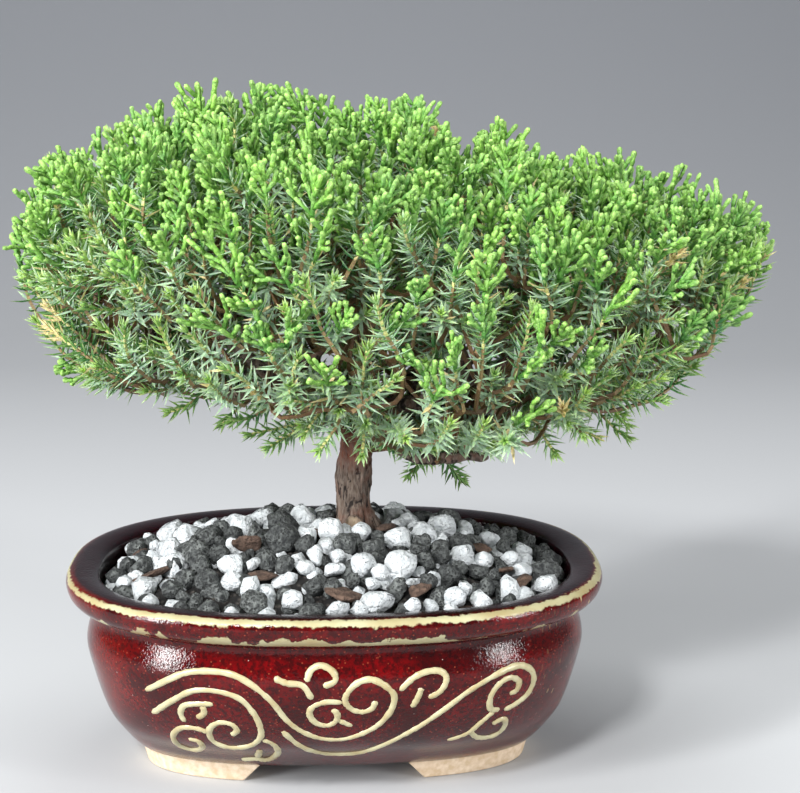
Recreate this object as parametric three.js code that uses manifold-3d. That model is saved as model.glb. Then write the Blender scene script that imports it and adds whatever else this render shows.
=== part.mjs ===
// A procumbens nana juniper bonsai in an oval glazed pot. Millimetres, +Z up.
// X runs along the pot's length, -Y is the front. Everything is modelled round the pot's centre, with the
// feet on Z = 0, and the whole tree is shifted at the end so that the origin is under the middle of its box.
import * as THREE from "three";
import { mergeVertices } from "three/addons/utils/BufferGeometryUtils.js";
import Module from "manifold-3d";

const wasm = await Module();
wasm.setup();

// Driving dimensions
const POT_LENGTH = 203;
const POT_DEPTH = 147;
const POT_HEIGHT = 79.5;
const OVAL_POWER = 2.45; // 2 is a plain ellipse, more is squarer
const FOOT_HEIGHT = 9;
const FLOOR_TOP = 15.5;
const DRAIN_RADIUS = 5;
const DRAIN_X = 38;
const GAP = 0.4; // left between pieces that touch
const SOIL_EDGE_Z = 73;
const SOIL_MOUND = 19.5;
const STONE_RELIEF = 2.4;
const TRUNK_FOOT = [8.3, 5, 66];
const TRUNK_TOP = [8.3, 4, 130];
const TRUNK_RADIUS_FOOT = 10.5;
const TRUNK_RADIUS_TOP = 6;
const CROWN_CENTRE_X = 23.5;
const CROWN_HALF_LENGTH = 141.5;
const CROWN_HALF_DEPTH = 83;
const TOP_SPRAYS = 12;
const MID_SPRAYS = 11;
const LOW_SPRAYS = 6;
const SHOULDER_SPRAYS = [[75, -48], [6, -56], [-57, -42], [36, 56]]; // [x, y], where the others leave room
const TWIGS_PER_SPRAY = 3;
const NEEDLE_LENGTH = 7.5;
const FORKS_PER_FAN = 2;
const FINGER_LENGTH = 11;
const FINGER_RADIUS = 1.5;

// The crown's upper and lower outline seen from the front, as [x, z].
const CROWN_TOP = [
  [-117, 202], [-102, 237], [-61, 253], [-23, 258], [4, 251], [35, 253], [44, 242], [57, 246], [77, 235],
  [119, 233], [149, 215], [165, 202],
];
const CROWN_BOTTOM = [
  [-117, 194], [-108, 155], [-97, 143], [-59, 141], [-31, 132], [0, 130], [22, 116], [58, 116], [79, 126],
  [100, 136], [115, 134], [133, 153], [149, 176], [165, 202],
];

const GOLDEN_ANGLE = Math.PI * (3 - Math.sqrt(5));

// Small helpers
const vec = (x, y, z) => new THREE.Vector3(x, y, z);
const along = (point, direction, distance) => point.clone().addScaledVector(direction, distance);

function seeded(seed) {
  let state = seed >>> 0;
  return () => {
    state = (state + 0x6d2b79f5) >>> 0;
    let t = state;
    t = Math.imul(t ^ (t >>> 15), t | 1);
    t ^= t + Math.imul(t ^ (t >>> 7), t | 61);
    return ((t ^ (t >>> 14)) >>> 0) / 4294967296;
  };
}

function heightAt(outline, x) {
  const after = outline.findIndex((p) => p[0] >= x);
  if (after < 0) return outline[outline.length - 1][1];
  if (after === 0) return outline[0][1];
  const [a, b] = [outline[after - 1], outline[after]];
  return a[1] + ((b[1] - a[1]) * (x - a[0])) / (b[0] - a[0]);
}

// A closed three.js geometry as a solid, its seams merged and its flat triangles dropped.
function solid(geometry) {
  const bare = geometry.clone();
  bare.deleteAttribute("normal");
  bare.deleteAttribute("uv");
  const merged = mergeVertices(bare, 1e-4);
  const index = merged.index.array;
  const kept = [];
  for (let i = 0; i < index.length; i += 3) {
    const [a, b, c] = [index[i], index[i + 1], index[i + 2]];
    if (a !== b && b !== c && a !== c) kept.push(a, b, c);
  }
  return new wasm.Manifold(
    new wasm.Mesh({
      numProp: 3,
      vertProperties: merged.attributes.position.array,
      triVerts: new Uint32Array(kept),
    }),
  );
}

const fuse = (solids) => wasm.Manifold.union(solids);

function geometryOf(made) {
  const mesh = made.getMesh();
  const geometry = new THREE.BufferGeometry();
  geometry.setAttribute("position", new THREE.BufferAttribute(new Float32Array(mesh.vertProperties), 3));
  geometry.setIndex(new THREE.BufferAttribute(new Uint32Array(mesh.triVerts), 1));
  geometry.computeVertexNormals();
  return geometry;
}

// Stands a geometry that is built along +Y on a point, pointing along a direction.
function aim(geometry, from, direction) {
  const turn = new THREE.Quaternion().setFromUnitVectors(vec(0, 1, 0), direction);
  return geometry.applyQuaternion(turn).translate(from.x, from.y, from.z);
}

// A cylinder bent along a curve, with its radius given at each share of the length.
function bentTube(curve, radiusAt, sides, steps) {
  const geometry = new THREE.CylinderGeometry(1, 1, 1, sides, steps);
  const frames = curve.computeFrenetFrames(steps);
  const position = geometry.attributes.position;
  for (let i = 0; i < position.count; i++) {
    const step = Math.round((position.getY(i) + 0.5) * steps);
    const share = step / steps;
    const radius = radiusAt(share);
    const point = curve.getPointAt(share);
    point.addScaledVector(frames.normals[step], position.getX(i) * radius);
    point.addScaledVector(frames.binormals[step], -position.getZ(i) * radius);
    position.setXYZ(i, point.x, point.y, point.z);
  }
  return geometry;
}

// The pot's oval
const OVAL_STEPS = 34;

function ovalPoint(insetX, insetY, angle) {
  const c = Math.cos(angle);
  const s = Math.sin(angle);
  const reach = (Math.abs(c) ** OVAL_POWER + Math.abs(s) ** OVAL_POWER) ** (-1 / OVAL_POWER);
  return [(POT_LENGTH / 2 - insetX) * reach * c, (POT_DEPTH / 2 - insetY) * reach * s];
}

// A closed surface whose level rings follow the oval. Each row is
// [inset at the ends, inset at front and back, height].
function ovalGeometry(rows) {
  const geometry = new THREE.CylinderGeometry(1, 1, 1, OVAL_STEPS, rows.length - 1);
  const position = geometry.attributes.position;
  for (let i = 0; i < position.count; i++) {
    const [insetX, insetY, z] = rows[Math.round((position.getY(i) + 0.5) * (rows.length - 1))];
    const across = Math.hypot(position.getX(i), position.getZ(i));
    const [x, y] = ovalPoint(insetX, insetY, Math.atan2(-position.getZ(i), position.getX(i)));
    position.setXYZ(i, across > 0.5 ? x : 0, across > 0.5 ? y : 0, z);
  }
  return geometry;
}

const ovalSolid = (rows) => solid(ovalGeometry(rows));

const POT_OUTSIDE = [
  [24, 40, FOOT_HEIGHT - 0.6], [18, 30.5, 17], [14.2, 22, 24],
  [11.5, 16, 32], [9.4, 11.6, 41], [7.8, 8.8, 51],
  [7.4, 7.6, 67.5], [1.8, 1.8, 68.4], [0.1, 0.1, 71.5], [0, 0, 75], [0.9, 0.9, 77.6], [3.2, 3.2, POT_HEIGHT],
];
const POT_INSIDE = [
  [31, 46, FLOOR_TOP], [22, 32, 23], [16.5, 21, 33], [13.8, 15, 46], [13, 13.2, 60],
  [12.5, 12.5, POT_HEIGHT + 0.5],
];
const FOOT_OUTSIDE = [[28, 44.2, 0], [25, 41, FOOT_HEIGHT]];
const FOOT_INSIDE = [[38, 53, -1], [38, 53, FOOT_HEIGHT + 1]];

// The notch between the feet, wider at the surface than under the pot, cut right through from front to back.
function footNotch() {
  const half = { bottom: 34, top: 26.5 };
  const shape = new THREE.Shape();
  shape.moveTo(-half.bottom, -1);
  shape.lineTo(half.bottom, -1);
  shape.lineTo(half.top, FOOT_HEIGHT + 1);
  shape.lineTo(-half.top, FOOT_HEIGHT + 1);
  const cut = new THREE.ExtrudeGeometry(shape, { depth: POT_DEPTH, bevelEnabled: false });
  return solid(cut.rotateX(Math.PI / 2).translate(-1.2, POT_DEPTH / 2, 0));
}

function drainHole(x) {
  const hole = new THREE.CylinderGeometry(DRAIN_RADIUS, DRAIN_RADIUS, 3 * FLOOR_TOP, 16);
  return solid(hole.rotateX(Math.PI / 2).translate(x, 0, FLOOR_TOP));
}

function makePot() {
  const feet = ovalSolid(FOOT_OUTSIDE).subtract(ovalSolid(FOOT_INSIDE)).subtract(footNotch());
  const bowl = ovalSolid(POT_OUTSIDE).subtract(ovalSolid(POT_INSIDE));
  return bowl.add(feet).subtract(drainHole(DRAIN_X)).subtract(drainHole(-DRAIN_X));
}

// Soil, with its stones raised from the mound
const SOIL_HALF_X = POT_LENGTH / 2 - 13.2;
const SOIL_HALF_Y = POT_DEPTH / 2 - 13.2;

const moundHeight = (share) => SOIL_EDGE_Z + SOIL_MOUND * (1 - share ** 1.8);

// The mound's top is one bump after another, up and down in turn, as stones lie on it.
function roughen(geometry, firstRow, rows, random) {
  const position = geometry.attributes.position;
  const heights = new Map();
  for (let i = 0; i < position.count; i++) {
    const [x, y, z] = [position.getX(i), position.getY(i), position.getZ(i)];
    if (z < rows[firstRow][2] - 0.01 || Math.hypot(x, y) < 1) continue;
    const key = Math.round(x * 10) + "," + Math.round(y * 10);
    if (!heights.has(key)) {
      const row = rows.findIndex((r) => Math.abs(r[2] - z) < 0.01);
      const step = Math.round((Math.atan2(y, x) * OVAL_STEPS) / (2 * Math.PI));
      const relief = STONE_RELIEF * Math.min(1, 0.25 + 0.25 * (rows.length - 1 - row));
      heights.set(key, z + relief * ((row + step) % 2 === 0 ? 0.3 + 0.7 * random() : -0.7 - 0.3 * random()));
    }
    position.setZ(i, heights.get(key));
  }
}

function makeSoil(trunkHole) {
  const rows = POT_INSIDE.slice(0, -1).map(([insetX, insetY, z]) => [insetX + GAP, insetY + GAP, z + GAP]);
  rows.push([13.4, 13.4, SOIL_EDGE_Z]);
  const firstRow = rows.length;
  for (const share of [0.96, 0.86, 0.76, 0.65, 0.54, 0.43, 0.32, 0.22]) {
    const [insetX, insetY] = [POT_LENGTH / 2 - SOIL_HALF_X * share, POT_DEPTH / 2 - SOIL_HALF_Y * share];
    rows.push([insetX, insetY, moundHeight(share) + 1]);
  }
  const geometry = ovalGeometry(rows);
  roughen(geometry, firstRow, rows, seeded(11));
  return solid(geometry).subtract(trunkHole);
}

// Rods: straight stretches of stem or needle, kept so that neighbouring pieces can be held clear
const placed = []; // { owner, a, b, radius }

function rodsOfCurve(owner, curve, radiusAt, steps) {
  const points = curve.getSpacedPoints(steps);
  return points.slice(1).map((b, i) => ({ owner, a: points[i], b, radius: radiusAt(i / steps) }));
}

function distanceBetween(p, q) {
  const d1 = p.b.clone().sub(p.a);
  const d2 = q.b.clone().sub(q.a);
  const r = p.a.clone().sub(q.a);
  const [a, e, f] = [d1.dot(d1), d2.dot(d2), d2.dot(r)];
  const [b, c] = [d1.dot(d2), d1.dot(r)];
  const denominator = a * e - b * b;
  let s = denominator > 1e-9 ? THREE.MathUtils.clamp((b * f - c * e) / denominator, 0, 1) : 0;
  let t = (b * s + f) / e;
  if (t < 0) {
    t = 0;
    s = THREE.MathUtils.clamp(-c / a, 0, 1);
  } else if (t > 1) {
    t = 1;
    s = THREE.MathUtils.clamp((b - c) / a, 0, 1);
  }
  return along(p.a, d1, s).distanceTo(along(q.a, d2, t));
}

// True where a rod keeps the gap to every rod of another owner, apart from the owner that it is seated on.
function isClear(rod, seat = null) {
  return placed.every(
    (other) =>
      other.owner === rod.owner ||
      other.owner === seat ||
      distanceBetween(rod, other) > rod.radius + other.radius + GAP,
  );
}

function anyPerpendicular(direction) {
  const helper = Math.abs(direction.z) < 0.9 ? vec(0, 0, 1) : vec(1, 0, 0);
  return helper.cross(direction).normalize();
}

// A direction leaning away from an axis by lean, turned round it by turn.
function leaning(axis, lean, turn) {
  const side = anyPerpendicular(axis).applyAxisAngle(axis, turn);
  return axis.clone().multiplyScalar(Math.cos(lean)).addScaledVector(side, Math.sin(lean)).normalize();
}

// Tries a rod at several turns and leans until it is clear, and gives null if none is.
function clearRod(owner, start, axis, lean, turn, length, radius, seat = null) {
  for (const [moreTurn, moreLean] of [[0, 0], [0.5, 0], [-0.5, 0], [0.25, -0.3], [-0.8, -0.25], [0.9, 0.2]]) {
    const direction = leaning(axis, lean + moreLean, turn + moreTurn);
    const rod = { owner, a: start, b: along(start, direction, length), radius };
    if (isClear(rod, seat)) return { ...rod, direction };
  }
  return null;
}

// Where the sprays grow
function curveTo(root, direction, tip) {
  const reach = root.distanceTo(tip);
  return new THREE.QuadraticBezierCurve3(root, along(root, direction, reach * 0.5), tip);
}

function sprayPlan() {
  const random = seeded(5);
  const plans = [];
  for (let i = 0; i < TOP_SPRAYS; i++) {
    const r = Math.sqrt((i + 0.4) / TOP_SPRAYS);
    const angle = i * GOLDEN_ANGLE + 0.6;
    const x = CROWN_CENTRE_X + 0.84 * CROWN_HALF_LENGTH * r * Math.cos(angle);
    const y = 0.74 * CROWN_HALF_DEPTH * r * Math.sin(angle);
    const z = heightAt(CROWN_TOP, x) - 25 - 24 * (y / CROWN_HALF_DEPTH) ** 2 - 0.16 * Math.max(0, y);
    const lean = vec(Math.cos(angle) * 0.6 * r, Math.sin(angle) * 0.6 * r, 1).normalize();
    plans.push({ kind: "top", tip: vec(x, y, z), direction: lean, length: 36, fan: true });
  }
  for (let i = 0; i < MID_SPRAYS; i++) {
    const angle = ((i + 0.5) / MID_SPRAYS) * 2 * Math.PI;
    const fan = Math.abs(Math.sin(angle)) < 0.5 || i % 3 === 1;
    const inset = fan ? 25 : 11;
    const x = CROWN_CENTRE_X + (CROWN_HALF_LENGTH - inset) * Math.cos(angle);
    const y = (CROWN_HALF_DEPTH - inset) * Math.sin(angle);
    const z = 0.45 * heightAt(CROWN_TOP, x) + 0.55 * heightAt(CROWN_BOTTOM, x) - 0.12 * y;
    const rise = fan ? 0.45 : 0.1 + 0.2 * random();
    const lean = vec(Math.cos(angle), Math.sin(angle), rise).normalize();
    plans.push({ kind: "mid", tip: vec(x, y, z), direction: lean, length: 38, fan });
  }
  for (let i = 0; i < LOW_SPRAYS; i++) {
    const angle = ((i + 0.25) / LOW_SPRAYS) * 2 * Math.PI;
    const x = CROWN_CENTRE_X + 0.62 * CROWN_HALF_LENGTH * Math.cos(angle);
    const y = 0.66 * CROWN_HALF_DEPTH * Math.sin(angle);
    const z = heightAt(CROWN_BOTTOM, x) + 9 - 0.2 * y;
    const lean = vec(Math.cos(angle), Math.sin(angle), -0.12).normalize();
    plans.push({ kind: "low", tip: vec(x, y, z), direction: lean, length: 32, fan: false });
  }
  for (const [x, y] of SHOULDER_SPRAYS) {
    const z = heightAt(CROWN_TOP, x) - 30 - 24 * (y / CROWN_HALF_DEPTH) ** 2 - 0.16 * Math.max(0, y);
    const lean = vec((0.25 * (x - CROWN_CENTRE_X)) / CROWN_HALF_LENGTH, (0.6 * y) / CROWN_HALF_DEPTH, 1);
    plans.push({ kind: "shoulder", tip: vec(x, y, z), direction: lean.normalize(), length: 36, fan: true });
  }
  return plans.map((plan) => ({ ...plan, root: along(plan.tip, plan.direction, -plan.length) }));
}

// Trunk, limbs and twigs with bark, all one piece
const LIMBS = [
  { start: 0.93, through: [-14, -5, 140], end: [-70, -12, 154] },
  { start: 0.97, through: [52, 4, 143], end: [106, 8, 176] },
  { start: 0.95, through: [-13, -23, 147], end: [-38, -44, 172] },
  { start: 0.96, through: [34, -25, 146], end: [72, -44, 170] },
  { start: 0.95, through: [-16, 27, 148], end: [-42, 44, 176] },
  { start: 0.96, through: [36, 27, 147], end: [74, 44, 174] },
  { start: 1.0, through: [11, 4, 152], end: [22, 2, 190] },
  { start: 0.86, through: [30, -8, 121], end: [56, -16, 123] },
];

const TRUNK_RADIUS = (share) => THREE.MathUtils.lerp(TRUNK_RADIUS_FOOT, TRUNK_RADIUS_TOP, share ** 0.8);
const LIMB_RADIUS = (share) => THREE.MathUtils.lerp(3.4, 1.7, share);

function trunkCurve() {
  const [foot, top] = [vec(...TRUNK_FOOT), vec(...TRUNK_TOP)];
  const waist = foot.clone().lerp(top, 0.55).add(vec(-1.5, 0.5, 0));
  return new THREE.CatmullRomCurve3([foot, waist, top, along(top, vec(0.1, 0, 1).normalize(), 8)]);
}

function limbCurves(trunk) {
  return LIMBS.map(({ start, through, end }) => {
    const from = trunk.getPointAt(start * 0.97);
    return new THREE.CatmullRomCurve3([from, vec(...through), vec(...end)]);
  });
}

function twigCurve(limbs, plan) {
  const wanted = along(plan.root, plan.direction, -14);
  let best = null;
  for (const limb of limbs) {
    for (let share = 0.3; share <= 1; share += 0.1) {
      const point = limb.getPointAt(share);
      const distance = point.distanceTo(wanted);
      if (!best || distance < best.distance) best = { point, distance, tangent: limb.getTangentAt(share) };
    }
  }
  const reach = best.point.distanceTo(plan.root);
  const bend = along(best.point, best.tangent, reach * 0.35);
  const seat = along(plan.root, plan.direction, -reach * 0.4);
  return new THREE.CubicBezierCurve3(best.point, bend, seat, plan.root.clone());
}

const TWIG_RADIUS = (share) => THREE.MathUtils.lerp(1.6, 1.2, share);
const STEM_RADIUS = (share) => THREE.MathUtils.lerp(1.15, 0.85, share);

// The twig of the tree and the spray's own stem go together: both have to be clear of what is there already.
function placeStem(name, plan, limbs, random) {
  for (let attempt = 0; attempt < 120; attempt++) {
    const wander = () => (random() - 0.5) * attempt * 0.4;
    const root = plan.root.clone().add(vec(wander(), wander(), wander()));
    const twig = twigCurve(limbs, { ...plan, root });
    const start = along(root, plan.direction, GAP);
    const tip = along(start, plan.direction, plan.length).add(vec(wander() / 2, wander() / 2, wander() / 2));
    const stem = curveTo(start, plan.direction, tip);
    const twigRods = rodsOfCurve("tree", twig, TWIG_RADIUS, 6);
    const stemRods = rodsOfCurve(name, stem, () => 1.15, 5);
    const ownTwigClear = stemRods.slice(1).every((rod) =>
      twigRods.every((other) => distanceBetween(rod, other) > rod.radius + other.radius + GAP),
    );
    const allClear = [...twigRods, ...stemRods].every((rod) => isClear(rod));
    if (!ownTwigClear || !allClear) continue;
    placed.push(...twigRods, ...stemRods);
    return { twig, stem };
  }
  throw new Error(name + " has no clear way up");
}

function makeTree(trunk, limbs, twigs) {
  const trunkTube = bentTube(trunk, TRUNK_RADIUS, 9, 7);
  const limbTubes = limbs.map((limb) => bentTube(limb, LIMB_RADIUS, 5, 3));
  const twigTubes = twigs.map((twig) => bentTube(twig, TWIG_RADIUS, 3, 3));
  return fuse([trunkTube, ...limbTubes, ...twigTubes].map(solid));
}

// Stems with needles or fingers
// A three-sided stem as one closed surface. Each whorl is a short band whose three faces are drawn out into
// needles or fingers; one that would touch a neighbour is left out and its face stays flat.
function whorledStem(owner, curve, radiusAt, whorls, shape, seat) {
  const length = curve.getLength();
  const half = shape.base / 2 / length;
  const shares = [0, ...whorls.flatMap(({ at }) => [at - half, at + half])];
  if (shares[shares.length - 1] < 0.97) shares.push(1);
  const reference = anyPerpendicular(curve.getTangentAt(0.5));
  const points = [];
  const faces = [];
  let twist = 0;
  shares.forEach((share, ring) => {
    if (ring % 2 === 1) twist += 0.7;
    const [centre, axis] = [curve.getPointAt(share), curve.getTangentAt(share)];
    const across = reference.clone().addScaledVector(axis, -axis.dot(reference)).normalize();
    for (let side = 0; side < 3; side++) {
      const angle = twist + (side * 2 * Math.PI) / 3;
      points.push(along(centre, across.clone().applyAxisAngle(axis, angle), radiusAt(share)));
    }
  });
  for (let ring = 0; ring + 1 < shares.length; ring++) {
    const whorl = ring % 2 === 1 ? whorls[(ring - 1) / 2] : null;
    for (let side = 0; side < 3; side++) {
      const next = (side + 1) % 3;
      const corners = [ring * 3 + side, ring * 3 + next, (ring + 1) * 3 + next, (ring + 1) * 3 + side];
      const band = corners.map((corner) => points[corner]);
      const rod = whorl ? outgrowth(owner, curve, shares[ring], band, whorl, shape, seat) : null;
      if (rod) drawOut(points, faces, corners, rod, shape);
      else faces.push(corners[0], corners[1], corners[2], corners[0], corners[2], corners[3]);
    }
  }
  const last = (shares.length - 1) * 3;
  faces.push(0, 2, 1, last, last + 1, last + 2);
  const geometry = new THREE.BufferGeometry().setFromPoints(points);
  geometry.setIndex(faces);
  return solid(geometry);
}

// Where a needle or finger would stand on a face of the stem, or null where there is no room for it.
function outgrowth(owner, curve, share, corners, whorl, shape, seat) {
  const centre = vec(0, 0, 0);
  corners.forEach((corner) => centre.addScaledVector(corner, 0.25));
  const axis = curve.getTangentAt(share);
  const out = centre.clone().sub(curve.getPointAt(share));
  out.addScaledVector(axis, -axis.dot(out)).normalize();
  const direction = axis.clone().multiplyScalar(Math.cos(whorl.lean));
  direction.addScaledVector(out, Math.sin(whorl.lean));
  if (direction.z < shape.lowest) return null;
  direction.lerp(vec(0, 0, 1), shape.uplift).normalize();
  const rod = { owner, a: centre, b: along(centre, direction, shape.length), radius: shape.radius };
  if (!isClear(rod, seat)) return null;
  placed.push(rod);
  return rod;
}

// Draws a face of the stem out to a tip, with a fuller ring on the way where the shape has a belly.
function drawOut(points, faces, corners, rod, shape) {
  let ring = corners;
  if (shape.belly) {
    const direction = rod.b.clone().sub(rod.a).normalize();
    const belly = along(rod.a, direction, shape.length * shape.belly);
    ring = corners.map((corner) => {
      const out = points[corner].clone().sub(rod.a);
      out.addScaledVector(direction, -direction.dot(out)).normalize();
      points.push(along(belly, out, shape.radius));
      return points.length - 1;
    });
    corners.forEach((corner, k) => {
      const next = (k + 1) % 4;
      faces.push(corner, corners[next], ring[next], corner, ring[next], ring[k]);
    });
  }
  points.push(rod.b);
  ring.forEach((corner, k) => faces.push(corner, ring[(k + 1) % 4], points.length - 1));
}

const NEEDLE = { length: NEEDLE_LENGTH, radius: 0.75, base: 1.4, belly: 0, uplift: 0, lowest: -2 };
const FINGER = {
  length: FINGER_LENGTH, radius: FINGER_RADIUS, base: 2.2, belly: 0.75, uplift: 0.35, lowest: -0.25,
};

const TWIG_END_RADIUS = (share) => THREE.MathUtils.lerp(0.95, 0.8, share);

function makeNeedleSpray(name, plan, curve, random) {
  const ownWhorls = plan.fan ? [] : [{ at: 0.6, lean: 0.95 }, { at: 0.975, lean: 0.5 }];
  const solids = [whorledStem(name, curve, STEM_RADIUS, ownWhorls, NEEDLE, null)];
  const firstTurn = random() * 6;
  for (let i = 0; i < TWIGS_PER_SPRAY; i++) {
    const share = 0.18 + (0.62 * i) / (TWIGS_PER_SPRAY - 1);
    const start = curve.getPointAt(share);
    const length = (plan.fan ? 34 : 27) - 9 * share;
    const turn = firstTurn + i * GOLDEN_ANGLE;
    const rod = clearRod(name, start, curve.getTangentAt(share), 0.85, turn, length, 0.9);
    if (!rod) continue;
    placed.push(rod);
    const twig = new THREE.LineCurve3(rod.a, rod.b);
    const whorls = [{ at: 0.55, lean: 1.0 }, { at: 0.96, lean: 0.55 }];
    solids.push(whorledStem(name, twig, TWIG_END_RADIUS, whorls, NEEDLE, null));
  }
  return fuse(solids);
}

// Fans of scaly, finger-like tips
function makeFan(name, seat, start, axis, random) {
  const stem = { owner: name, a: start, b: along(start, axis, 10), radius: 1.2 };
  placed.push(stem);
  const thickness = (share) => THREE.MathUtils.lerp(1.2, 1.5, share);
  const crown = [{ at: 0.88, lean: 0.5 }];
  const solids = [whorledStem(name, new THREE.LineCurve3(stem.a, stem.b), thickness, crown, FINGER, seat)];
  const firstTurn = random() * 6;
  for (let i = 0; i < FORKS_PER_FAN; i++) {
    const turn = firstTurn + (i * 2 * Math.PI) / FORKS_PER_FAN;
    const fork = clearRod(name, along(start, axis, 5), axis, 0.9, turn, 17 + 4 * random(), 1.2, seat);
    if (!fork) continue;
    placed.push(fork);
    const whorls = [{ at: 0.88, lean: 0.6 }];
    solids.push(whorledStem(name, new THREE.LineCurve3(fork.a, fork.b), thickness, whorls, FINGER, seat));
  }
  return fuse(solids);
}

// Assembly
function material(color, roughness) {
  return new THREE.MeshStandardMaterial({ color, roughness, metalness: 0 });
}

const LOOKS = {
  glaze: material(0x5c0f14, 0.25),
  soil: material(0x6b6a68, 0.95),
  bark: material(0x5b4034, 0.9),
  needles: material(0x3f8a55, 0.6),
  tips: material(0x83c556, 0.6),
};

const bonsai = new THREE.Group();

function addNode(name, made, look) {
  const mesh = new THREE.Mesh(geometryOf(made), look);
  mesh.name = name;
  bonsai.add(mesh);
}

const number = (i) => String(i + 1).padStart(2, "0");
const trunk = trunkCurve();
const limbs = limbCurves(trunk);
placed.push(...rodsOfCurve("tree", trunk, TRUNK_RADIUS, 6));
limbs.forEach((limb) => placed.push(...rodsOfCurve("tree", limb, LIMB_RADIUS, 6)));

const plans = sprayPlan();
const random = seeded(24);
const stems = plans.map((plan, i) => placeStem("needle_spray_" + number(i), plan, limbs, random));
const HOLE_RADIUS = (share) => TRUNK_RADIUS(share) + 1.5 * GAP;
const trunkHole = solid(bentTube(trunk, HOLE_RADIUS, 9, 7).translate(0, 0, -GAP));

addNode("pot", makePot(), LOOKS.glaze);
addNode("soil", makeSoil(trunkHole), LOOKS.soil);
addNode("trunk_and_branches", makeTree(trunk, limbs, stems.map((pair) => pair.twig)), LOOKS.bark);

plans.forEach((plan, i) => {
  const name = "needle_spray_" + number(i);
  addNode(name, makeNeedleSpray(name, plan, stems[i].stem, random), LOOKS.needles);
});
plans.forEach((plan, i) => {
  if (!plan.fan) return;
  const axis = stems[i].stem.getTangentAt(1);
  const start = along(stems[i].stem.getPointAt(1), axis, GAP);
  const fan = makeFan("tip_fan_" + number(i), "needle_spray_" + number(i), start, axis, random);
  addNode("tip_fan_" + number(i), fan, LOOKS.tips);
});

// The origin goes under the middle of the whole tree's box.
const box = new THREE.Box3().setFromObject(bonsai);
bonsai.position.set(-(box.min.x + box.max.x) / 2, -(box.min.y + box.max.y) / 2, -box.min.z);

export default bonsai;
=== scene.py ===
# %% [markdown]
# # A dwarf juniper bonsai in an oval glazed pot
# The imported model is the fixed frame: it says how big the pot is and where each spray of the tree starts
# and ends. This script dresses that frame with the finer pieces that the eye expects: a glazed pot with a
# slip scroll, loose stones, flaking bark, sharp needles and scaly green tips. Everything is in metres and
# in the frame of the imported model. Sizes are written in millimetres and times MM.

# %% Load the frame
import math
import bpy
import numpy as np
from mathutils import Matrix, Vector, noise


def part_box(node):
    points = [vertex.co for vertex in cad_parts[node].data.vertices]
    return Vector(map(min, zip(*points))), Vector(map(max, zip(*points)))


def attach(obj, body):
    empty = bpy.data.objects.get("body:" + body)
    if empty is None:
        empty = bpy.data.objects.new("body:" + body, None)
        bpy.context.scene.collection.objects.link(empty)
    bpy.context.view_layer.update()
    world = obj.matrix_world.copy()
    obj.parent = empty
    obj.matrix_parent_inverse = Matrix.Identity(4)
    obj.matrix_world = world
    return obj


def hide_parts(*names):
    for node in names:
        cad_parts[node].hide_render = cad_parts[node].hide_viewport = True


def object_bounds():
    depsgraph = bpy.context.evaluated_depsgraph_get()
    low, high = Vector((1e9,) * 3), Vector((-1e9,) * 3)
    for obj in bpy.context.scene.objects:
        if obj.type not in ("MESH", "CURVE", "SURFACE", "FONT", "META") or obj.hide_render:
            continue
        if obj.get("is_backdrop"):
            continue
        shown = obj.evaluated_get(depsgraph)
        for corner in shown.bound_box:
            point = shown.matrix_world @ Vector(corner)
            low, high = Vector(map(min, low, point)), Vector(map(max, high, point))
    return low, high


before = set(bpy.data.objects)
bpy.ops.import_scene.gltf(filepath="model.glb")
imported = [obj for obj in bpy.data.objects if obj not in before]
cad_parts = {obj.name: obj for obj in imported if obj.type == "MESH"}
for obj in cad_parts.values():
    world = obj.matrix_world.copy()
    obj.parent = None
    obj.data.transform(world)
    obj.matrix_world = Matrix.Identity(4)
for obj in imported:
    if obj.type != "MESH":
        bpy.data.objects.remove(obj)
cad_low, cad_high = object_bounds()
MM = 0.001
pot_low, pot_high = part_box("pot")
POT = (pot_low + pot_high) / 2 / MM
POT.z = 0
print("pot centre, mm:", [round(v, 2) for v in POT], "nodes:", len(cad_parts))

# %% [markdown]
# ## Camera, floor and light
# The photograph was taken from a little above the rim and a little to the left of the pot's middle. A lens
# of 72 mm on a 36 mm sensor keeps the oval of the rim as flat as it looks there. The floor is swept up into
# a back wall, as a photographer's paper sweep is, so that no horizon cuts the picture. Shade is painted
# into the paper: its colour darkens towards the back, as if the light fell off there, so that the light
# green crown stands out against it. A small lamp at the upper left gives the shadows, a broad one above
# fills them, and two tall, narrow ones stand low at the sides, because a glossy round wall shows its lamps
# as highlights, and tall lamps give the upright ones of the photograph.

# %% Camera
YAW = math.radians(3.2)
TILT = math.radians(12.1)
ROLL = math.radians(0.3)
DISTANCE = 601
AIM_ACROSS, AIM_UP = 24.3, 142.1
LENS, SENSOR = 72, 36


def pot_point(x, y, z):
    """A point given round the pot's centre in mm, as a vector in the frame."""
    return Vector((POT.x + x, POT.y + y, z)) * MM


def deselect():
    if bpy.context.object and bpy.context.object.mode != "OBJECT":
        bpy.ops.object.mode_set(mode="OBJECT")
    bpy.ops.object.select_all(action="DESELECT")


def pick(obj):
    deselect()
    obj.select_set(True)
    bpy.context.view_layer.objects.active = obj
    return obj


aim = pot_point(AIM_ACROSS * math.cos(YAW), -AIM_ACROSS * math.sin(YAW), AIM_UP)
back_off = Vector((-math.sin(YAW) * math.cos(TILT), -math.cos(YAW) * math.cos(TILT), math.sin(TILT)))
deselect()
bpy.ops.object.camera_add(location=aim + back_off * DISTANCE * MM)
camera = bpy.context.object
camera.name = "camera"
camera.data.lens = LENS
camera.data.sensor_width = SENSOR
camera.data.dof.use_dof = False
camera.rotation_euler = (-back_off).to_track_quat("-Z", "Y").to_euler()
camera.rotation_euler.rotate_axis("Z", ROLL)
bpy.context.scene.camera = camera

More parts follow.
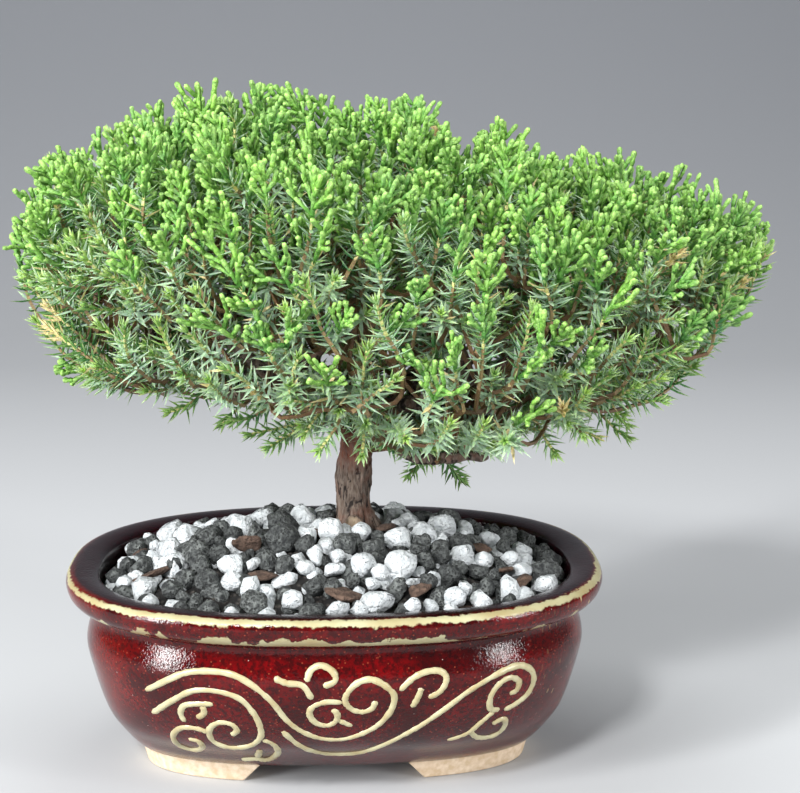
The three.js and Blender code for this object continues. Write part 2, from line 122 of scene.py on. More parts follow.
# %% Floor swept up into a wall, in metres
FLOOR_SIZE = (6, 4, 1)
WALL_EDGE_Y, WALL_HEIGHT = 1.9, 3
SWEEP_RADIUS, SWEEP_STEPS = 1.2, 16
bpy.ops.mesh.primitive_plane_add(size=1, location=(0, 0, 0))
floor = bpy.context.object
floor.name = "floor"
floor.scale = FLOOR_SIZE
bpy.ops.object.transform_apply(location=True, rotation=True, scale=True)
bpy.ops.object.mode_set(mode="EDIT")
bpy.ops.mesh.select_mode(type="EDGE")
bpy.ops.mesh.select_all(action="DESELECT")
bpy.ops.object.mode_set(mode="OBJECT")
for edge in floor.data.edges:
    edge.select = all(floor.data.vertices[v].co.y > WALL_EDGE_Y for v in edge.vertices)
bpy.ops.object.mode_set(mode="EDIT")
bpy.ops.mesh.extrude_region_move(TRANSFORM_OT_translate={"value": (0, 0, WALL_HEIGHT)})
bpy.ops.object.mode_set(mode="OBJECT")
sweep = floor.modifiers.new("sweep", "BEVEL")
sweep.width = SWEEP_RADIUS
sweep.segments = SWEEP_STEPS
sweep.limit_method = "ANGLE"
bpy.ops.object.modifier_apply(modifier=sweep.name)
for face in floor.data.polygons:
    face.use_smooth = True
floor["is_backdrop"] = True

# %% Lights
STUDIO_COLOUR, STUDIO_STRENGTH = (0.86, 0.9, 0.96, 1), 0.27
LAMPS = {  # place, width and height in metres, power in watts
    "key": ((-0.5, -1.15, 1.25), 0.22, 0.22, 22),
    "tall_left": ((-1.2, -0.82, 0.62), 0.13, 1.1, 38),
    "tall_right": ((1.2, -0.9, 0.6), 0.1, 1.0, 18),
    "top": ((0.1, 0.15, 1.6), 0.7, 0.7, 12),
}
world = bpy.data.worlds.new("studio")
bpy.context.scene.world = world
world.use_nodes = True
world.node_tree.nodes["Background"].inputs["Color"].default_value = STUDIO_COLOUR
world.node_tree.nodes["Background"].inputs["Strength"].default_value = STUDIO_STRENGTH
bpy.context.scene.view_settings.view_transform = "Standard"


def softbox(name, place, width, height, power):
    """A flat lamp that looks at the middle of the tree."""
    deselect()
    bpy.ops.object.light_add(type="AREA", location=place)
    lamp = bpy.context.object
    lamp.name = name
    lamp.data.shape = "RECTANGLE"
    lamp.data.size, lamp.data.size_y = width, height
    lamp.data.energy = power
    lamp.rotation_euler = (aim - Vector(place)).to_track_quat("-Z", "Y").to_euler()


for name, lamp in LAMPS.items():
    softbox(name, *lamp)

# %% [markdown]
# ## Node helpers and the patterns that finishes share
# A material is a small graph. Two patterns come back in nearly all of them: soft cloudy changes and small
# round spots. Each is a node group with named inputs, built once, and every finish sets its own values on
# it.

# %% Small helpers for materials
SRGB_FULL, SRGB_GAMMA = 255, 2.2
MIX_SOCKETS = (0, 6, 7)  # a Mix node's factor and its two colours


def colour(r, g, b):
    """An sRGB colour of 0 to 255, as the linear colour that the shader wants."""
    return tuple((v / SRGB_FULL) ** SRGB_GAMMA for v in (r, g, b)) + (1,)


def feed(tree, socket, value):
    """Links a socket to another, or sets it to a plain value."""
    if isinstance(value, (int, float, tuple)):
        socket.default_value = value
    else:
        tree.links.new(value, socket)


def math_node(tree, operation, first, second=None, clamp=False):
    made = tree.nodes.new("ShaderNodeMath")
    made.operation = operation
    made.use_clamp = clamp
    feed(tree, made.inputs[0], first)
    if second is not None:
        feed(tree, made.inputs[1], second)
    return made.outputs[0]


def blend_colours(tree, mask, first, second):
    made = tree.nodes.new("ShaderNodeMix")
    made.data_type = "RGBA"
    for socket, value in zip(MIX_SOCKETS, (mask, first, second)):
        feed(tree, made.inputs[socket], value)
    return made.outputs[2]


def lay_over(tree, base, mask, strength, top):
    """The base colour, with the top colour laid over it where the mask is."""
    return blend_colours(tree, math_node(tree, "MULTIPLY", mask, strength), base, top)


def ramp(tree, value, low, high, to_low=0.0, to_high=1.0):
    """A soft step: to_low where the value is low, to_high where it is high."""
    made = tree.nodes.new("ShaderNodeMapRange")
    made.interpolation_type = "SMOOTHSTEP"
    tree.links.new(value, made.inputs["Value"])
    made.inputs["From Min"].default_value = low
    made.inputs["From Max"].default_value = high
    made.inputs["To Min"].default_value = to_low
    made.inputs["To Max"].default_value = to_high
    return made.outputs["Result"]


def group(name, inputs):
    made = bpy.data.node_groups.new(name, "ShaderNodeTree")
    made.interface.new_socket("Vector", in_out="INPUT", socket_type="NodeSocketVector")
    for label, value in inputs:
        socket = made.interface.new_socket(label, in_out="INPUT", socket_type="NodeSocketFloat")
        socket.default_value = value
    made.interface.new_socket("Mask", in_out="OUTPUT", socket_type="NodeSocketFloat")
    return made, made.nodes.new("NodeGroupInput"), made.nodes.new("NodeGroupOutput")


# %% Clouds and spots, as shared groups
CLOUDS, inside, outside = group("clouds", [("Scale", 100), ("Detail", 3), ("Low", 0.4), ("High", 0.6)])
cloud = CLOUDS.nodes.new("ShaderNodeTexNoise")
for name in ("Vector", "Scale", "Detail"):
    CLOUDS.links.new(inside.outputs[name], cloud.inputs[name])
cloud_range = CLOUDS.nodes.new("ShaderNodeMapRange")
CLOUDS.links.new(cloud.outputs["Fac"], cloud_range.inputs["Value"])
CLOUDS.links.new(inside.outputs["Low"], cloud_range.inputs["From Min"])
CLOUDS.links.new(inside.outputs["High"], cloud_range.inputs["From Max"])
CLOUDS.links.new(cloud_range.outputs["Result"], outside.inputs["Mask"])

SPOTS, inside, outside = group("spots", [("Scale", 800), ("Size", 0.3), ("Softness", 0.1)])
cells = SPOTS.nodes.new("ShaderNodeTexVoronoi")
SPOTS.links.new(inside.outputs["Vector"], cells.inputs["Vector"])
SPOTS.links.new(inside.outputs["Scale"], cells.inputs["Scale"])
edge_of_spot = math_node(SPOTS, "SUBTRACT", inside.outputs["Size"], cells.outputs["Distance"])
soft_spot = math_node(SPOTS, "DIVIDE", edge_of_spot, inside.outputs["Softness"], clamp=True)
SPOTS.links.new(soft_spot, outside.inputs["Mask"])


def pattern(tree, which, vector, **values):
    made = tree.nodes.new("ShaderNodeGroup")
    made.node_tree = which
    tree.links.new(vector, made.inputs["Vector"])
    for name, value in values.items():
        made.inputs[name.title()].default_value = value
    return made.outputs["Mask"]


# %% A plain finish, its relief, and what it reads from the mesh


def material(name, roughness, specular=0.5):
    """A new material, its tree, its shader and object coordinates that are centred on the pot."""
    made = bpy.data.materials.new(name)
    made.use_nodes = True
    tree = made.node_tree
    shader = tree.nodes["Principled BSDF"]
    shader.inputs["Roughness"].default_value = roughness
    shader.inputs["Specular IOR Level"].default_value = specular
    coords = tree.nodes.new("ShaderNodeTexCoord")
    centred = tree.nodes.new("ShaderNodeMapping")
    centred.inputs["Location"].default_value = (-POT.x * MM, -POT.y * MM, 0)
    tree.links.new(coords.outputs["Object"], centred.inputs["Vector"])
    return made, tree, shader, centred.outputs["Vector"]


def drawn_upright(tree, vector, squeeze):
    """Coordinates on which a pattern is longer in height than across."""
    made = tree.nodes.new("ShaderNodeMapping")
    made.inputs["Scale"].default_value = (1, 1, squeeze)
    tree.links.new(vector, made.inputs["Vector"])
    return made.outputs["Vector"]


def bump(tree, shader, height, distance, strength=1.0):
    made = tree.nodes.new("ShaderNodeBump")
    made.inputs["Distance"].default_value = distance * MM
    made.inputs["Strength"].default_value = strength
    tree.links.new(height, made.inputs["Height"])
    tree.links.new(made.outputs["Normal"], shader.inputs["Normal"])


def attribute(tree, name):
    made = tree.nodes.new("ShaderNodeAttribute")
    made.attribute_name = name
    return made


def split(tree, kind, source):
    """The parts of a colour or a vector. Kind is Color or XYZ."""
    made = tree.nodes.new("ShaderNodeSeparate" + kind)
    tree.links.new(source, made.inputs[0])
    return made.outputs


# %% The paper of the floor, with painted shade: darker towards the back
# Painted shade: the paper's own colour darkens towards the back, as if the light fell off there.
PAPER_NEAR, PAPER_SHADED_FAR = (0.44, 0.45, 0.46, 1), (0.25, 0.26, 0.28, 1)
PAPER_SHADE_FADE = (0.1, 1.9)  # in metres behind the origin
paper, tree, shader, _ = material("paper", 0.9)
coords = tree.nodes.new("ShaderNodeTexCoord")
depth = split(tree, "XYZ", coords.outputs["Object"])["Y"]
shade = blend_colours(tree, ramp(tree, depth, *PAPER_SHADE_FADE), PAPER_NEAR, PAPER_SHADED_FAR)
tree.links.new(shade, shader.inputs["Base Color"])
floor.data.materials.append(paper)

# %% [markdown]
# ## The pot's glaze, its slip and its bare feet
# The wall is an oxblood glaze: deep red with fine dark and brown specks, browner where it runs thin at the
# two ends, and nearly black on top of the rim. Cream slip breaks through along the rim's outer edge, in
# ragged patches under the lip, and in small runs at the wall's right end. "rise" is the distance along the
# pot's profile in mm, which each ring of the pot carries, so that these bands follow the rim all the way
# round. The feet are bare, sandy clay.

# %% Glaze: the oxblood body
OXBLOOD_DEEP, OXBLOOD_BRIGHT = colour(56, 2, 6), colour(96, 5, 10)
MOTTLE, THIN_BROWN = colour(40, 8, 9), colour(96, 26, 12)
THIN_ENDS = (0.062, 0.1)  # where the glaze runs thin, in metres from the pot's middle
SPECKS = [  # scale, size, softness, strength, colour
    (900, 0.24, 0.12, 0.75, colour(30, 8, 10)),
    (520, 0.2, 0.1, 0.5, colour(150, 70, 50)),
    (210, 0.05, 0.02, 0.6, colour(215, 190, 180)),
]
glaze, tree, shader, where = material("oxblood_glaze", 0.1, specular=0.34)
rise = attribute(tree, "rise").outputs["Fac"]
across = split(tree, "XYZ", where)["X"]
drift = pattern(tree, CLOUDS, where, scale=55, detail=4, low=0.35, high=0.68)
fine = pattern(tree, CLOUDS, where, scale=620, detail=2, low=0.42, high=0.62)
ends = ramp(tree, math_node(tree, "ABSOLUTE", across), *THIN_ENDS)
thin = math_node(tree, "MULTIPLY", ends, drift, clamp=True)
body = blend_colours(tree, drift, OXBLOOD_DEEP, OXBLOOD_BRIGHT)
body = lay_over(tree, body, fine, 0.75, MOTTLE)
body = lay_over(tree, body, thin, 0.75, THIN_BROWN)
for scale, size, softness, strength, tone in SPECKS:
    speck = pattern(tree, SPOTS, where, scale=scale, size=size, softness=softness)
    body = lay_over(tree, body, speck, strength, tone)

# %% Glaze: small cream runs at the right end, drawn out by their own weight
RUN_CREAM, RUN_SQUEEZE = colour(190, 168, 118), 0.3
RUNS_FROM = (0.07, 0.09)
upright = drawn_upright(tree, where, RUN_SQUEEZE)
runs = pattern(tree, SPOTS, upright, scale=340, size=0.2, softness=0.06)
run_patches = pattern(tree, CLOUDS, where, scale=70, detail=3, low=0.45, high=0.6)
at_right = math_node(tree, "MULTIPLY", ramp(tree, across, *RUNS_FROM), run_patches)
body = blend_colours(tree, math_node(tree, "MULTIPLY", runs, at_right), body, RUN_CREAM)

# %% Glaze: the dark rim, its cream edge and the ragged slip under the lip
LIP_BOTTOM, RIM_EDGE_START, RIM_EDGE_END = 72.4, 81.4, 84.6
RIM_TOP = (colour(38, 6, 16), colour(22, 5, 11))
CREAM = (colour(176, 173, 138), colour(156, 143, 104))
WANDER, RAGGED = 1.5, 1.3  # how far the bands' edges stray, in mm
LEFT_NARROWING, NARROWS_FROM, NARROWS_TO = 1.1, -0.05, -0.095
PATCH_REACH = -5
on_rim = ramp(tree, rise, RIM_EDGE_START + 2, RIM_EDGE_END + 1)
body = blend_colours(tree, on_rim, body, blend_colours(tree, fine, *RIM_TOP))
wander = pattern(tree, CLOUDS, where, scale=120, detail=3, low=0.2, high=0.8)
ragged = pattern(tree, CLOUDS, where, scale=520, detail=3, low=0.25, high=0.75)
wobbly = math_node(tree, "ADD", rise, math_node(tree, "MULTIPLY", wander, WANDER))
wobbly = math_node(tree, "ADD", wobbly, math_node(tree, "MULTIPLY", ragged, RAGGED))
narrowed = ramp(tree, across, NARROWS_FROM, NARROWS_TO, 0, LEFT_NARROWING)
to_inside = math_node(tree, "ADD", wobbly, narrowed)
band_starts = ramp(tree, wobbly, RIM_EDGE_START + 0.6, RIM_EDGE_START + 1.3)
band_ends = ramp(tree, to_inside, RIM_EDGE_END + 0.2, RIM_EDGE_END + 1.0, 1, 0)
band = math_node(tree, "MULTIPLY", band_starts, band_ends)
patch = pattern(tree, CLOUDS, where, scale=90, detail=4, low=0.42, high=0.62)
reach_up = math_node(tree, "ADD", wobbly, math_node(tree, "MULTIPLY", patch, PATCH_REACH))
drip_starts = ramp(tree, wobbly, LIP_BOTTOM, LIP_BOTTOM + 0.7)
drip_ends = ramp(tree, reach_up, LIP_BOTTOM + 0.2, LIP_BOTTOM + 0.9, 1, 0)
drip = math_node(tree, "MULTIPLY", drip_starts, drip_ends)
slip_seen = math_node(tree, "MAXIMUM", band, math_node(tree, "MULTIPLY", drip, 0.85))
body = blend_colours(tree, slip_seen, body, blend_colours(tree, drift, *CREAM))
tree.links.new(body, shader.inputs["Base Color"])

# %% Glaze: gloss, and a skin like an orange's
GLAZE_ROUGHNESS, SLIP_ROUGHNESS = 0.07, 0.22
tree.links.new(ramp(tree, slip_seen, 0, 1, GLAZE_ROUGHNESS, SLIP_ROUGHNESS), shader.inputs["Roughness"])
peel = pattern(tree, CLOUDS, where, scale=1300, detail=2, low=0.3, high=0.7)
skin = math_node(tree, "MULTIPLY", drift, 0.8)
for layer, weight in ((peel, 0.5), (slip_seen, 0.8)):
    skin = math_node(tree, "ADD", skin, math_node(tree, "MULTIPLY", layer, weight))
bump(tree, shader, skin, distance=0.16, strength=0.6)

# %% Slip and bare clay
SLIP_PALE, SLIP_TAN, SLIP_DUST = colour(182, 177, 142), colour(162, 147, 107), colour(150, 92, 62)
CLAY_PALE, CLAY_SAND, CLAY_STAIN = colour(228, 208, 184), colour(204, 180, 148), colour(196, 160, 120)
slip, tree, shader, where = material("cream_slip", 0.28)
tone = pattern(tree, CLOUDS, where, scale=140, detail=3, low=0.35, high=0.7)
dust = pattern(tree, SPOTS, where, scale=700, size=0.16, softness=0.08)
trail = lay_over(tree, blend_colours(tree, tone, SLIP_PALE, SLIP_TAN), dust, 0.6, SLIP_DUST)
tree.links.new(trail, shader.inputs["Base Color"])
bump(tree, shader, tone, distance=0.25, strength=0.6)

clay, tree, shader, where = material("bare_clay", 0.85)
sand = pattern(tree, CLOUDS, where, scale=420, detail=4, low=0.35, high=0.65)
stain = pattern(tree, CLOUDS, where, scale=45, detail=3, low=0.45, high=0.75)
foot_colour = lay_over(tree, blend_colours(tree, sand, CLAY_PALE, CLAY_SAND), stain, 0.35, CLAY_STAIN)
tree.links.new(foot_colour, shader.inputs["Base Color"])
bump(tree, shader, sand, distance=0.12, strength=0.5)

# %% [markdown]
# ## The pot
# A potter's mould gives one smooth oval that swells towards the rim. In Blender the quickest true copy is a
# single ring of corners on the oval, drawn up, over the rim and down inside, ring after ring, each
# extrusion resized to the profile. A row of the profile is (inset at the ends, inset at front and back,
# height) in mm.

# %% The profile of the pot
POT_LENGTH, POT_DEPTH, OVAL_POWER = 203, 147, 2.45
FOOT_HEIGHT = 9
STEPS = 144  # corners in a ring
SMOOTH_BELOW = math.radians(40)
OUTSIDE = [
    (24.6, 40.6, 8.4), (21.4, 35.6, 12.2), (18, 30.5, 17), (14.2, 22, 24), (11.5, 16, 32), (9.2, 11.4, 41),
    (7.4, 8.3, 49), (7, 7.5, 53.5), (7.9, 8.3, 58), (9.4, 9.6, 62), (10.1, 10.2, 64.8), (9.6, 9.7, 66.4),
]
RIM = [
    (7, 7.1, 67.8), (4.4, 4.4, 69), (2.4, 2.4, 70.4), (1, 1, 72.2), (0.3, 0.3, 74.2), (0.1, 0.1, 76),
    (0.5, 0.5, 77.5), (1.5, 1.5, 78.7), (3.2, 3.2, 79.3), (6, 6, 79.4), (9, 9, 79), (11.3, 11.3, 78.2),
    (12.5, 12.5, 76.8), (12.9, 12.9, 74),
]
INSIDE = [(13, 13.2, 60), (13.8, 15, 46), (16.5, 21, 33), (22, 32, 23), (31, 46, 15.5)]


def smooth_rows(rows, between):
    """More rows between the given ones, on a curve through all of them."""
    rows = np.array(rows, float)
    padded = np.vstack([2 * rows[0] - rows[1], rows, 2 * rows[-1] - rows[-2]])
    made = []
    for i in range(1, len(padded) - 2):
        p0, p1, p2, p3 = padded[i - 1 : i + 3]
        for t in np.arange(between) / between:
            step = p2 - p0 + t * (2 * p0 - 5 * p1 + 4 * p2 - p3 + t * (3 * (p1 - p2) + p3 - p0))
            made.append(p1 + 0.5 * t * step)
    return np.array(made + [rows[-1]])


def oval(inset_x, inset_y, angle):
    c, s = math.cos(angle), math.sin(angle)
    reach = (abs(c) ** OVAL_POWER + abs(s) ** OVAL_POWER) ** (-1 / OVAL_POWER)
    return (POT_LENGTH / 2 - inset_x) * reach * c, (POT_DEPTH / 2 - inset_y) * reach * s


def draw_up(name, rows, steps=STEPS):
    """One ring on the oval, extruded and resized from row to row. Ends in edit mode, last ring selected."""
    deselect()
    x, y, z = rows[0]
    bpy.ops.mesh.primitive_circle_add(vertices=steps, radius=1, location=(0, 0, 0))
    obj = bpy.context.object
    obj.name = name
    for i, corner in enumerate(obj.data.vertices):
        px, py = oval(x, y, 2 * math.pi * i / steps)
        corner.co = pot_point(px, py, z)
    bpy.ops.object.mode_set(mode="EDIT")
    bpy.ops.mesh.select_mode(type="VERT")
    bpy.ops.mesh.select_all(action="SELECT")
    for (x0, y0, z0), (x1, y1, z1) in zip(rows, rows[1:]):
        bpy.ops.mesh.extrude_region_move(TRANSFORM_OT_translate={"value": (0, 0, (z1 - z0) * MM)})
        size = ((POT_LENGTH / 2 - x1) / (POT_LENGTH / 2 - x0), (POT_DEPTH / 2 - y1) / (POT_DEPTH / 2 - y0), 1)
        bpy.ops.transform.resize(value=size, center_override=pot_point(0, 0, z1))
    return obj


def close_and_face_out(obj):
    """Fills the open rings, turns all faces outwards and leaves edit mode."""
    bpy.ops.mesh.select_all(action="SELECT")
    bpy.ops.mesh.fill_holes(sides=0)
    bpy.ops.mesh.select_all(action="SELECT")
    bpy.ops.mesh.normals_make_consistent(inside=False)
    bpy.ops.object.mode_set(mode="OBJECT")
    bpy.ops.object.shade_smooth_by_angle(angle=SMOOTH_BELOW)
    return obj


outer_rows = smooth_rows(OUTSIDE, 3)
rows = np.vstack([outer_rows, smooth_rows(RIM, 3), smooth_rows(INSIDE, 2)])
bowl = close_and_face_out(draw_up("pot_bowl", rows))
print("pot bowl rings:", len(rows), "faces:", len(bowl.data.polygons))

# %% Each ring carries its distance along the profile, counted so that it is the height where the rim starts
lengths = np.concatenate([[0], np.cumsum(np.linalg.norm(np.diff(rows[:, 1:], axis=0), axis=1))])
first_rim_row = len(outer_rows)
lengths += rows[first_rim_row, 2] - lengths[first_rim_row]
carried = bowl.data.attributes.new("rise", "FLOAT", "POINT")
carried.data.foreach_set("value", np.repeat(lengths, STEPS).astype(np.float32))
print("rise at the rim's rows:", [round(v, 1) for v in lengths[first_rim_row::6]])

# %% Drain holes through the floor, cut with a round punch
DRAIN_RADIUS, DRAIN_X = 5, 38
PUNCH_SIDES, PUNCH_LENGTH, PUNCH_MIDDLE = 32, 30, 12


def cut(obj, cutter):
    step = pick(obj).modifiers.new("cut", "BOOLEAN")
    step.object, step.operation, step.solver = cutter, "DIFFERENCE", "EXACT"
    bpy.ops.object.modifier_apply(modifier=step.name)
    bpy.data.objects.remove(cutter)


for x in (-DRAIN_X, DRAIN_X):
    deselect()
    bpy.ops.mesh.primitive_cylinder_add(
        vertices=PUNCH_SIDES,
        radius=DRAIN_RADIUS * MM,
        depth=PUNCH_LENGTH * MM,
        location=pot_point(x, 0, PUNCH_MIDDLE),
    )
    cut(bowl, bpy.context.object)
bowl.data.materials.append(glaze)
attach(bowl, "root")
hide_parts("pot")

# %% [markdown]
# ## The feet
# The pot stands on a low ring that is cut away at the front and the back, which leaves two bare, C-shaped
# feet with slanted ends. For each foot the ring is drawn up like the bowl, sliced off at a slant with
# bisect, and its edges are softened with a small bevel, as a wet sponge does.

# %% Feet
FOOT_ROWS = [(38, 53, 9.2), (38, 53, 0), (28, 44.2, 0), (25.6, 41.6, 9.2)]
FOOT_STEPS = 96
NOTCH_MIDDLE, NOTCH_TOP, NOTCH_BOTTOM = -1.2, 26.5, 34
SPONGED_WIDTH, SPONGED_ABOVE = 0.7, math.radians(50)


def on_end_rings(edge):
    """Whether an edge lies on the first or the last ring that was drawn up."""
    first, second = edge.vertices
    at_end = all(v < FOOT_STEPS or v >= FOOT_STEPS * (len(FOOT_ROWS) - 1) for v in (first, second))
    return at_end and abs(first - second) in (1, FOOT_STEPS - 1)


def make_foot(name, side):
    foot = draw_up(name, FOOT_ROWS, FOOT_STEPS)
    bpy.ops.mesh.select_all(action="DESELECT")
    bpy.ops.object.mode_set(mode="OBJECT")
    for edge in foot.data.edges:
        edge.select = on_end_rings(edge)
    bpy.ops.object.mode_set(mode="EDIT")
    bpy.ops.mesh.select_mode(type="EDGE")
    bpy.ops.mesh.bridge_edge_loops()
    bpy.ops.mesh.select_all(action="SELECT")
    slant = Vector((side * FOOT_HEIGHT, 0, NOTCH_BOTTOM - NOTCH_TOP)).normalized()
    start = pot_point(NOTCH_MIDDLE + side * NOTCH_BOTTOM, 0, 0)
    bpy.ops.mesh.bisect(plane_co=start, plane_no=slant, use_fill=True, clear_inner=True)
    close_and_face_out(foot)
    edges = foot.modifiers.new("sponged", "BEVEL")
    edges.width = SPONGED_WIDTH * MM
    edges.segments = 3
    edges.limit_method = "ANGLE"
    edges.angle_limit = SPONGED_ABOVE
    bpy.ops.object.modifier_apply(modifier=edges.name)
    foot.data.materials.append(clay)
    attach(foot, "root")
    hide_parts("pot")
    return foot


for name, side in (("pot_foot_left", -1), ("pot_foot_right", 1)):
    foot = make_foot(name, side)
    print(name, "faces:", len(foot.data.polygons), "lowest:", min(v.co.z for v in foot.data.vertices))

# %% [markdown]
# ## The scroll on the wall
# The ornament is a common scroll vine, trailed onto the wall as a thick line of cream slip, like icing.
# Each stroke is a soft curve through a few points of (x, height) on the wall; a round bevel gives the rope
# of slip its thickness, and it lies half sunk in the glaze. The back of the pot isn't seen, so it gets the
# same scroll.

# %% Strokes of the scroll
SCROLL = [
    [
        (-68, 46.6), (-60.6, 52), (-53, 56), (-44, 57.3), (-36, 56.4), (-28.5, 52.3), (-23, 46.6),
        (-18.4, 39), (-12.9, 33.4), (-6.4, 29.9), (0.9, 29.2), (7.5, 31.5), (13.5, 35.7), (17.9, 41.9),
        (19.3, 48.6), (16.6, 52.5), (11.4, 55.2), (6.6, 54.3), (3, 50.9), (2.2, 47), (4.6, 43.6),
        (8.2, 42.4), (11.4, 43.7), (12.8, 47.1),
    ],
    [
        (-66.3, 36.4), (-59.2, 43.6), (-51, 49.7), (-42, 50.4), (-34.4, 47.9), (-29.7, 41.6),
        (-27.6, 35), (-27.9, 29.7), (-31.8, 25.1), (-38.8, 23.3), (-44.6, 26.2), (-46.1, 31.1),
        (-44.6, 34.8), (-41.2, 36.7), (-37.4, 35.8), (-36, 33), (-37.9, 30.6),
    ],
    [
        (-46.1, 31.1), (-50.7, 32.4), (-56.3, 31.5), (-59.6, 26.4), (-58, 20.6), (-53, 18.2),
        (-49.3, 21), (-50.2, 25.4), (-53.9, 26.2),
    ],
    [(-54.6, 35), (-55.8, 39.1), (-54.1, 42.8), (-49, 44.3), (-44, 44.8)],
    [(-47.7, 43.6), (-47.4, 40.3), (-49.9, 37.6)],
    [(-26.9, 29), (-23, 26), (-21.8, 20.8), (-23.8, 16), (-26.5, 14.2), (-29.8, 14.8), (-35.2, 13.8)],
    [(-28.3, 22.4), (-29.4, 16)],
    [(-22.4, 56.1), (-18.1, 54.4), (-12.5, 53.5), (-9.4, 48.4)],
    [(-11.3, 54.8), (-9.7, 58.6), (-6.1, 60.1), (-2.1, 58), (-1.4, 55), (-5.4, 53.3)],
    [
        (1, 46.8), (-4.6, 47), (-9.1, 45), (-10.3, 41.6), (-8, 37.6), (-3.9, 36.4), (-0.9, 38.6),
        (-0.7, 41.8), (-2.3, 43.8),
    ],
    [(-0.2, 38.8), (4.6, 35.9)],
    [(21, 50.9), (25.5, 55), (30.5, 57), (35.4, 56.8), (37.5, 54.1), (35.5, 49.8), (31.4, 47.3)],
    [(28.7, 51.7), (27.6, 48), (25.6, 43.5)],
    [
        (-19.8, 33.5), (-13.8, 25.8), (-6.5, 20.4), (0.2, 18.9), (7.7, 20), (15, 24.5), (23.9, 30.9),
        (29.9, 35.4), (36.6, 41), (45.6, 48.4), (54.9, 53.1), (63.5, 54.9), (68.6, 52.4), (70.1, 47.6),
        (68.1, 42.1), (63.8, 38.8), (59.5, 37),
    ],
    [
        (57.5, 37.5), (54.2, 39), (54, 44.7), (56.9, 49.6), (60.9, 51.2), (64.2, 48.8), (63.6, 45.2),
        (61, 44.2),
    ],
    [(55.6, 37.4), (51.1, 32.9), (46.3, 28), (39.3, 25.4)],
    [(47.4, 28.6), (50.3, 24.9), (54.8, 23.7), (59, 25.6), (60.7, 29.8), (59.3, 32.6), (55.5, 31.1)],
]
STROKE_HALF_WIDTH, STROKE_SUNK = 1.45, 0.75
THINNEST, UNEVEN, END_THINNER = 0.92, 0.16, 0.35  # of the stroke's width


def on_wall(x, z, sunk):
    """The point of the front wall at that x and height, moved inwards by sunk."""
    insets_x, insets_y, heights = zip(*OUTSIDE)
    half_length = POT_LENGTH / 2 - np.interp(z, heights, insets_x)
    half_depth = POT_DEPTH / 2 - np.interp(z, heights, insets_y)
    share = min(0.999, abs(x) / half_length)
    return pot_point(x, -half_depth * (1 - share**OVAL_POWER) ** (1 / OVAL_POWER) + sunk, z)


def trail_stroke(points, number):
    fine = smooth_rows([(x, z, 0) for x, z in points], 6)
    deselect()
    bpy.ops.curve.primitive_nurbs_path_add()
    stroke = bpy.context.object
    stroke.name = f"stroke_{number:02d}"
    stroke.data.splines.clear()
    line = stroke.data.splines.new("POLY")
    line.points.add(len(fine) - 1)
    draw = np.random.default_rng(number)
    for i, (x, z, _) in enumerate(fine):
        at_end = i in (0, len(fine) - 1)
        line.points[i].co = (*on_wall(x, z, STROKE_SUNK), 1)
        line.points[i].radius = THINNEST + UNEVEN * draw.random() - (END_THINNER if at_end else 0)
    stroke.data.bevel_depth = STROKE_HALF_WIDTH * MM
    stroke.data.bevel_resolution = 2
    stroke.data.use_fill_caps = True
    return stroke


strokes = [trail_stroke(points, i) for i, points in enumerate(SCROLL)]
deselect()
for stroke in strokes:
    stroke.select_set(True)
bpy.context.view_layer.objects.active = strokes[0]
bpy.ops.object.convert(target="MESH")
bpy.ops.object.join()
front_scroll = bpy.context.object
front_scroll.name = "slip_scroll_front"
bpy.ops.object.transform_apply(location=True, rotation=True, scale=True)
bpy.ops.object.shade_smooth()
front_scroll.data.materials.append(slip)
back_scroll = front_scroll.copy()
back_scroll.data = front_scroll.data.copy()
back_scroll.name = "slip_scroll_back"
bpy.context.collection.objects.link(back_scroll)
for corner in back_scroll.data.vertices:
    corner.co.x = 2 * POT.x * MM - corner.co.x
    corner.co.y = 2 * POT.y * MM - corner.co.y
for scroll in (front_scroll, back_scroll):
    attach(scroll, "root")
print("scroll strokes:", len(SCROLL), "faces on each side:", len(front_scroll.data.polygons))

# %% [markdown]
# ## Copies of a master
# Stones, needles and scaly tips come in hundreds or thousands. Each kind is modelled once, and its
# copies are laid by one helper that turns and sizes the master's corners for every copy in a single sum,
# then writes them as one mesh. Every copy has its own place, length, width and tint.

# %% The helper that lays copies


def unit(v):
    return v / np.maximum(np.linalg.norm(v, axis=-1, keepdims=True), 1e-9)


def take_master(obj):
    """A modelled master as numbers: corners in mm, and its faces. The object is removed."""
    mesh = obj.data
    corners = np.array([v.co for v in mesh.vertices]) / MM
    faces = [tuple(f.vertices) for f in mesh.polygons]
    bpy.data.objects.remove(obj)
    return corners, faces


def frames(direction, up):
    """Across, up and along for each copy, square to each other."""
    along = unit(direction)
    across = unit(np.cross(up, along))
    return np.stack([across, np.cross(along, across), along], axis=2)


def copies(master, place, turn, size):
    """Corners and faces of all the copies of one master, in mm."""
    corners, faces = master
    points = np.einsum("kij,kvj->kvi", turn, corners[None] * size[:, None, :]) + place[:, None, :]
    return points, faces


